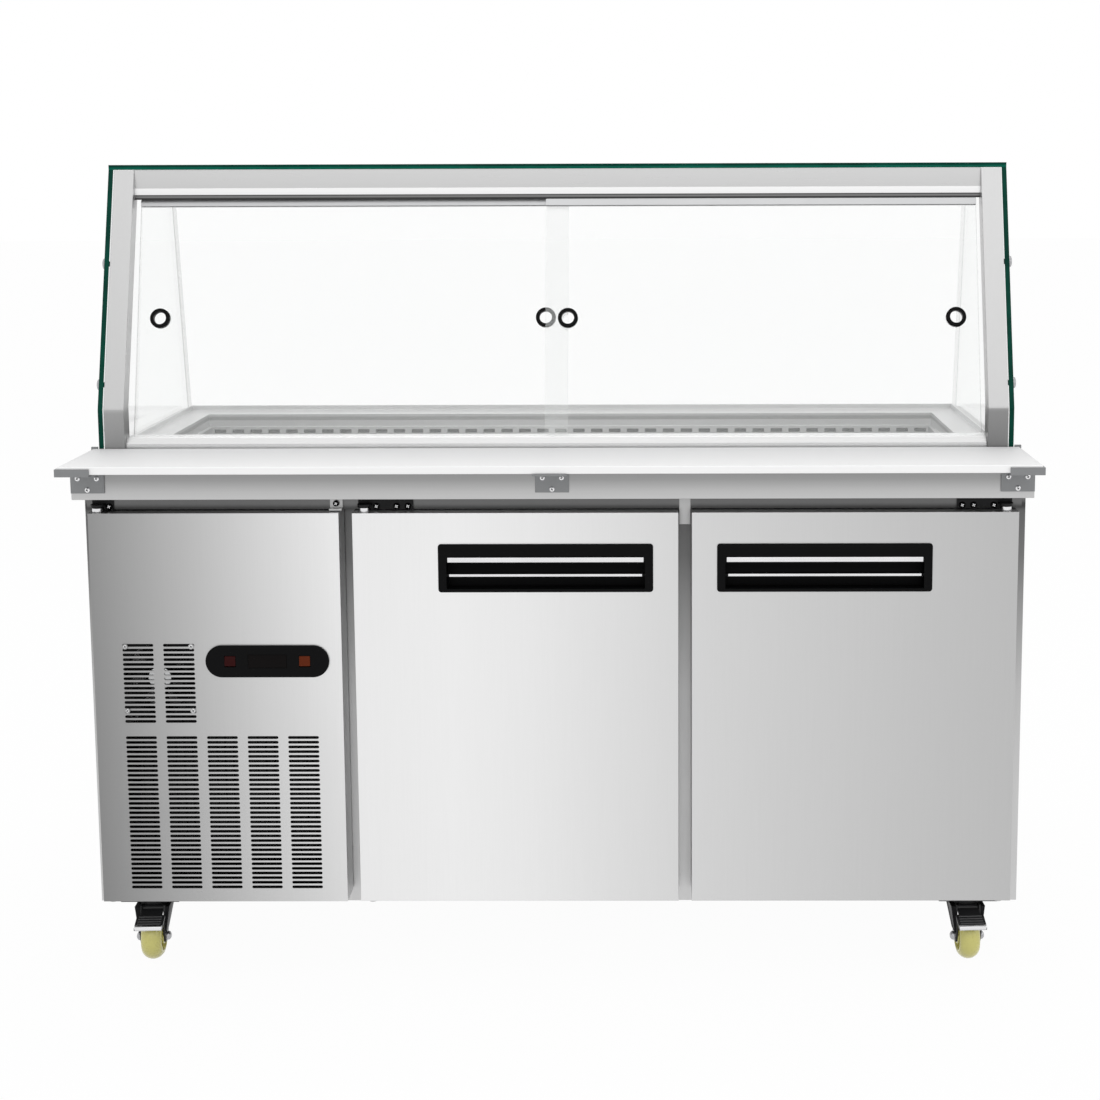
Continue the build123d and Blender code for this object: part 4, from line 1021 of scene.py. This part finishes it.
# %% Wire shelves
rails = bmesh.new()
wires = bmesh.new()
ROD, WIRE = 0.004, 0.002
CROSS_RODS = (0.33, 0.67)
WIRE_PITCH = 0.025
RAIL_LIMIT, RAIL_ROUND = 0.1, 0.001
for low, high in solids("shelves"):
    if high.x - low.x < RAIL_LIMIT:
        add_block(rails, low, high, RAIL_ROUND)
        continue
    rod_z = low.z + ROD
    corners = [(low.x + ROD, low.y + ROD), (high.x - ROD, low.y + ROD), (high.x - ROD, high.y - ROD),
               (low.x + ROD, high.y - ROD)]
    for first, second in zip(corners, corners[1:] + corners[:1]):
        add_tube(wires, [(*first, rod_z), (*second, rod_z)], ROD)
    for share in CROSS_RODS:
        rod_y = low.y + (high.y - low.y) * share
        add_tube(wires, [(low.x + ROD, rod_y, rod_z), (high.x - ROD, rod_y, rod_z)], ROD)
    count = round((high.x - low.x) / WIRE_PITCH)
    for index in range(1, count):
        wire_x = low.x + (high.x - low.x) * index / count
        wire_z = high.z - WIRE
        add_tube(wires, [(wire_x, low.y + WIRE, wire_z), (wire_x, high.y - WIRE, wire_z)], WIRE,
                 steps=8)
piece("shelf_rails", rails, "cabinet", wire_bright)
piece("shelf_wires", wires, "cabinet", wire_bright, ["shelves"])

# %% [markdown]
# ## Compressor and pipes
#
# The compressor's two shells meet in a welded flange, a turned ring. Copper pipes link it to the
# coils. They could be curves with a bevel, but a tube along a few points keeps everything mesh.

# %% Compressor seam
low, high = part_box("compressor")
core = middle((low, high))
SEAM = [(84.9, -4.0), (89.0, -4.0), (90.0, -3.0), (90.0, 3.0), (89.0, 4.0), (84.9, 4.0)]
seam = bmesh.new()
add_turned(seam, closed(SEAM), Matrix.Translation(core), steps=56)
piece("compressor_seam", seam, "cabinet", black_metal)

# %% Copper pipes
def bend(points, soft=0.025, steps=5):
    """A path with rounded corners."""
    points = [Vector(point) for point in points]
    path = [points[0]]
    for before, corner, after in zip(points, points[1:], points[2:]):
        start = corner + (before - corner).normalized() * soft
        end = corner + (after - corner).normalized() * soft
        for step in range(steps + 1):
            share = step / steps
            path.append(start.lerp(corner, share).lerp(corner.lerp(end, share), share))
    return path + [points[-1]]


HOT_RADIUS, HOT_OUT, HOT_RISE, HOT_BEND = 0.004, 0.05, 0.05, 0.012
COLD_RADIUS, COLD_OUT, COLD_RISE = 0.005, -0.04, 0.08
SINK, COIL_SINK = 0.002, 0.001
COIL_GAP, INLET_BACK, INLET_DROP, DETOUR = 0.012, 0.02, 0.03, 0.13
coil_low, coil_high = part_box("condenser")
pipes = bmesh.new()
hot_x = core.x + HOT_OUT
hot_z = high.z + HOT_RISE
coil_x = coil_high.x + COIL_GAP
inlet_y = coil_low.y + INLET_BACK
inlet_z = coil_high.z - INLET_DROP
detour_y = inlet_y + DETOUR
hot_route = [(hot_x, core.y, high.z - SINK), (hot_x, core.y, hot_z), (hot_x, detour_y, hot_z),
             (coil_x, detour_y, hot_z), (coil_x, inlet_y, hot_z), (coil_x, inlet_y, inlet_z),
             (coil_high.x - COIL_SINK, inlet_y, inlet_z)]
add_tube(pipes, bend(hot_route, HOT_BEND), HOT_RADIUS)
cold_x = core.x + COLD_OUT
cold_z = high.z + COLD_RISE
wall_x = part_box("bay_partition")[0].x
cold_route = [(cold_x, core.y, high.z - SINK), (cold_x, core.y, cold_z),
              (wall_x + COIL_SINK, core.y, cold_z)]
add_tube(pipes, bend(cold_route), COLD_RADIUS)
piece("copper_pipes", pipes, "cabinet", copper)

# %% [markdown]
# ## Studio
#
# A pale floor, a white world and large soft lights. The camera, mirrors and glass see both as plain
# white, while dull surfaces are lit by a slightly dimmer world, so nothing is over-lit.

# %% Floor
FLOOR_REACH = 30.0
FLOOR_TONES = (236, 242)
FLOOR_SHOWN = 0.96


def shown_white(wiring):
    """1 for the rays of the camera, of mirrors and of clear glass."""
    seen, mirrored_ray, passed = (wiring.node("ShaderNodeLightPath", out=ray) for ray in
                                  ("Is Camera Ray", "Is Glossy Ray", "Is Transmission Ray"))
    return seen + mirrored_ray + passed


floor_mesh = bmesh.new()
bmesh.ops.create_grid(floor_mesh, x_segments=1, y_segments=1, size=FLOOR_REACH)
mesh = bpy.data.meshes.new("floor")
floor_mesh.to_mesh(mesh)
floor_mesh.free()
floor = bpy.data.objects.new("floor", mesh)
scene.collection.objects.link(floor)
floor_paint = Paint("floor_pale")
floor_tone = floor_paint.mix(floor_paint.noise(scale=0.4), *(grey(tone) for tone in FLOOR_TONES))
floor_paint.set(Base_Color=floor_tone, Roughness=0.8)
glow = floor_paint.node("ShaderNodeEmission", {"Color": (1, 1, 1, 1), "Strength": 1.0})
lit_floor = Wire(floor_paint, floor_paint.shader.outputs[0])
ground = floor_paint.node("ShaderNodeMixShader",
                          {0: shown_white(floor_paint) * FLOOR_SHOWN, 1: lit_floor, 2: glow})
floor_paint.feed(floor_paint.output, {"Surface": ground})
mesh.materials.append(floor_paint.material)
print("floor", 2 * FLOOR_REACH, "m wide")

# %% World
WORLD_LEVEL = 0.86
world = bpy.data.worlds.new("studio")
scene.world = world
world.use_nodes = True
sky = Wiring(world.node_tree)
lit = sky.node("ShaderNodeBackground", {"Color": (0.98, 0.98, 0.98, 1.0), "Strength": WORLD_LEVEL})
white = sky.node("ShaderNodeBackground", {"Color": (1.0, 1.0, 1.0, 1.0), "Strength": 1.0})
blend = sky.node("ShaderNodeMixShader", {0: shown_white(sky), 1: lit, 2: white})
sky.feed(sky.tree.nodes["World Output"], {"Surface": blend})
print("world level", WORLD_LEVEL)

# %% [markdown]
# ## Lights
#
# One broad light in front and above, one to the right to lift the right-hand edges, and one
# overhead for the board. Big lights give the soft, shadowless look of a catalogue picture.

# %% Lights
def softbox(name, at, target, size, power):
    """A rectangular area light at one place that looks at another."""
    data = bpy.data.lights.new(name, "AREA")
    data.shape = "RECTANGLE"
    data.size, data.size_y = size
    data.energy = power
    lamp = bpy.data.objects.new(name, data)
    lamp.location = at
    lamp.rotation_euler = (Vector(target) - Vector(at)).to_track_quat("-Z", "Y").to_euler()
    scene.collection.objects.link(lamp)
    print(name, power, "W")


softbox("front_light", at=(0.2, -4.5, 3.0), target=(0, 0, 0.6), size=(5.0, 3.0), power=24)
softbox("right_light", at=(4.5, -2.0, 2.2), target=(0, 0, 0.6), size=(2.5, 2.5), power=14)
softbox("top_light", at=(0.0, 0.2, 4.0), target=(0, 0, 0.8), size=(3.5, 2.5), power=40)

# %% [markdown]
# ## Camera
#
# The photo was taken from about 3 m in front of the doors, a little right of the middle and level
# with the glass top. The frame is shifted down and left, as the photo's framing needs, so that the
# upright edges stay close to parallel. The rest of the way down is a slight pitch.

# %% Camera
data = bpy.data.cameras.new("camera")
data.sensor_width = 36.0
data.lens = 61.25
data.shift_x = -0.0855
data.shift_y = -0.125
camera = bpy.data.objects.new("camera", data)
camera.location = (0.1618, -3.210, 1.308)
pitch, yaw, tilt = (math.radians(angle) for angle in (7.546, -0.344, -0.183))
ahead = Vector((math.sin(yaw) * math.cos(pitch), math.cos(yaw) * math.cos(pitch), -math.sin(pitch)))
right = Vector((math.cos(yaw), -math.sin(yaw), 0.0))
up = right.cross(ahead)
tilted_right = right * math.cos(tilt) + up * math.sin(tilt)
tilted_up = up * math.cos(tilt) - right * math.sin(tilt)
camera.rotation_euler = Matrix((tilted_right, tilted_up, -ahead)).transposed().to_euler()
scene.collection.objects.link(camera)
scene.camera = camera
scene.view_settings.view_transform = "Standard"
print("camera at", tuple(round(v, 3) for v in camera.location))
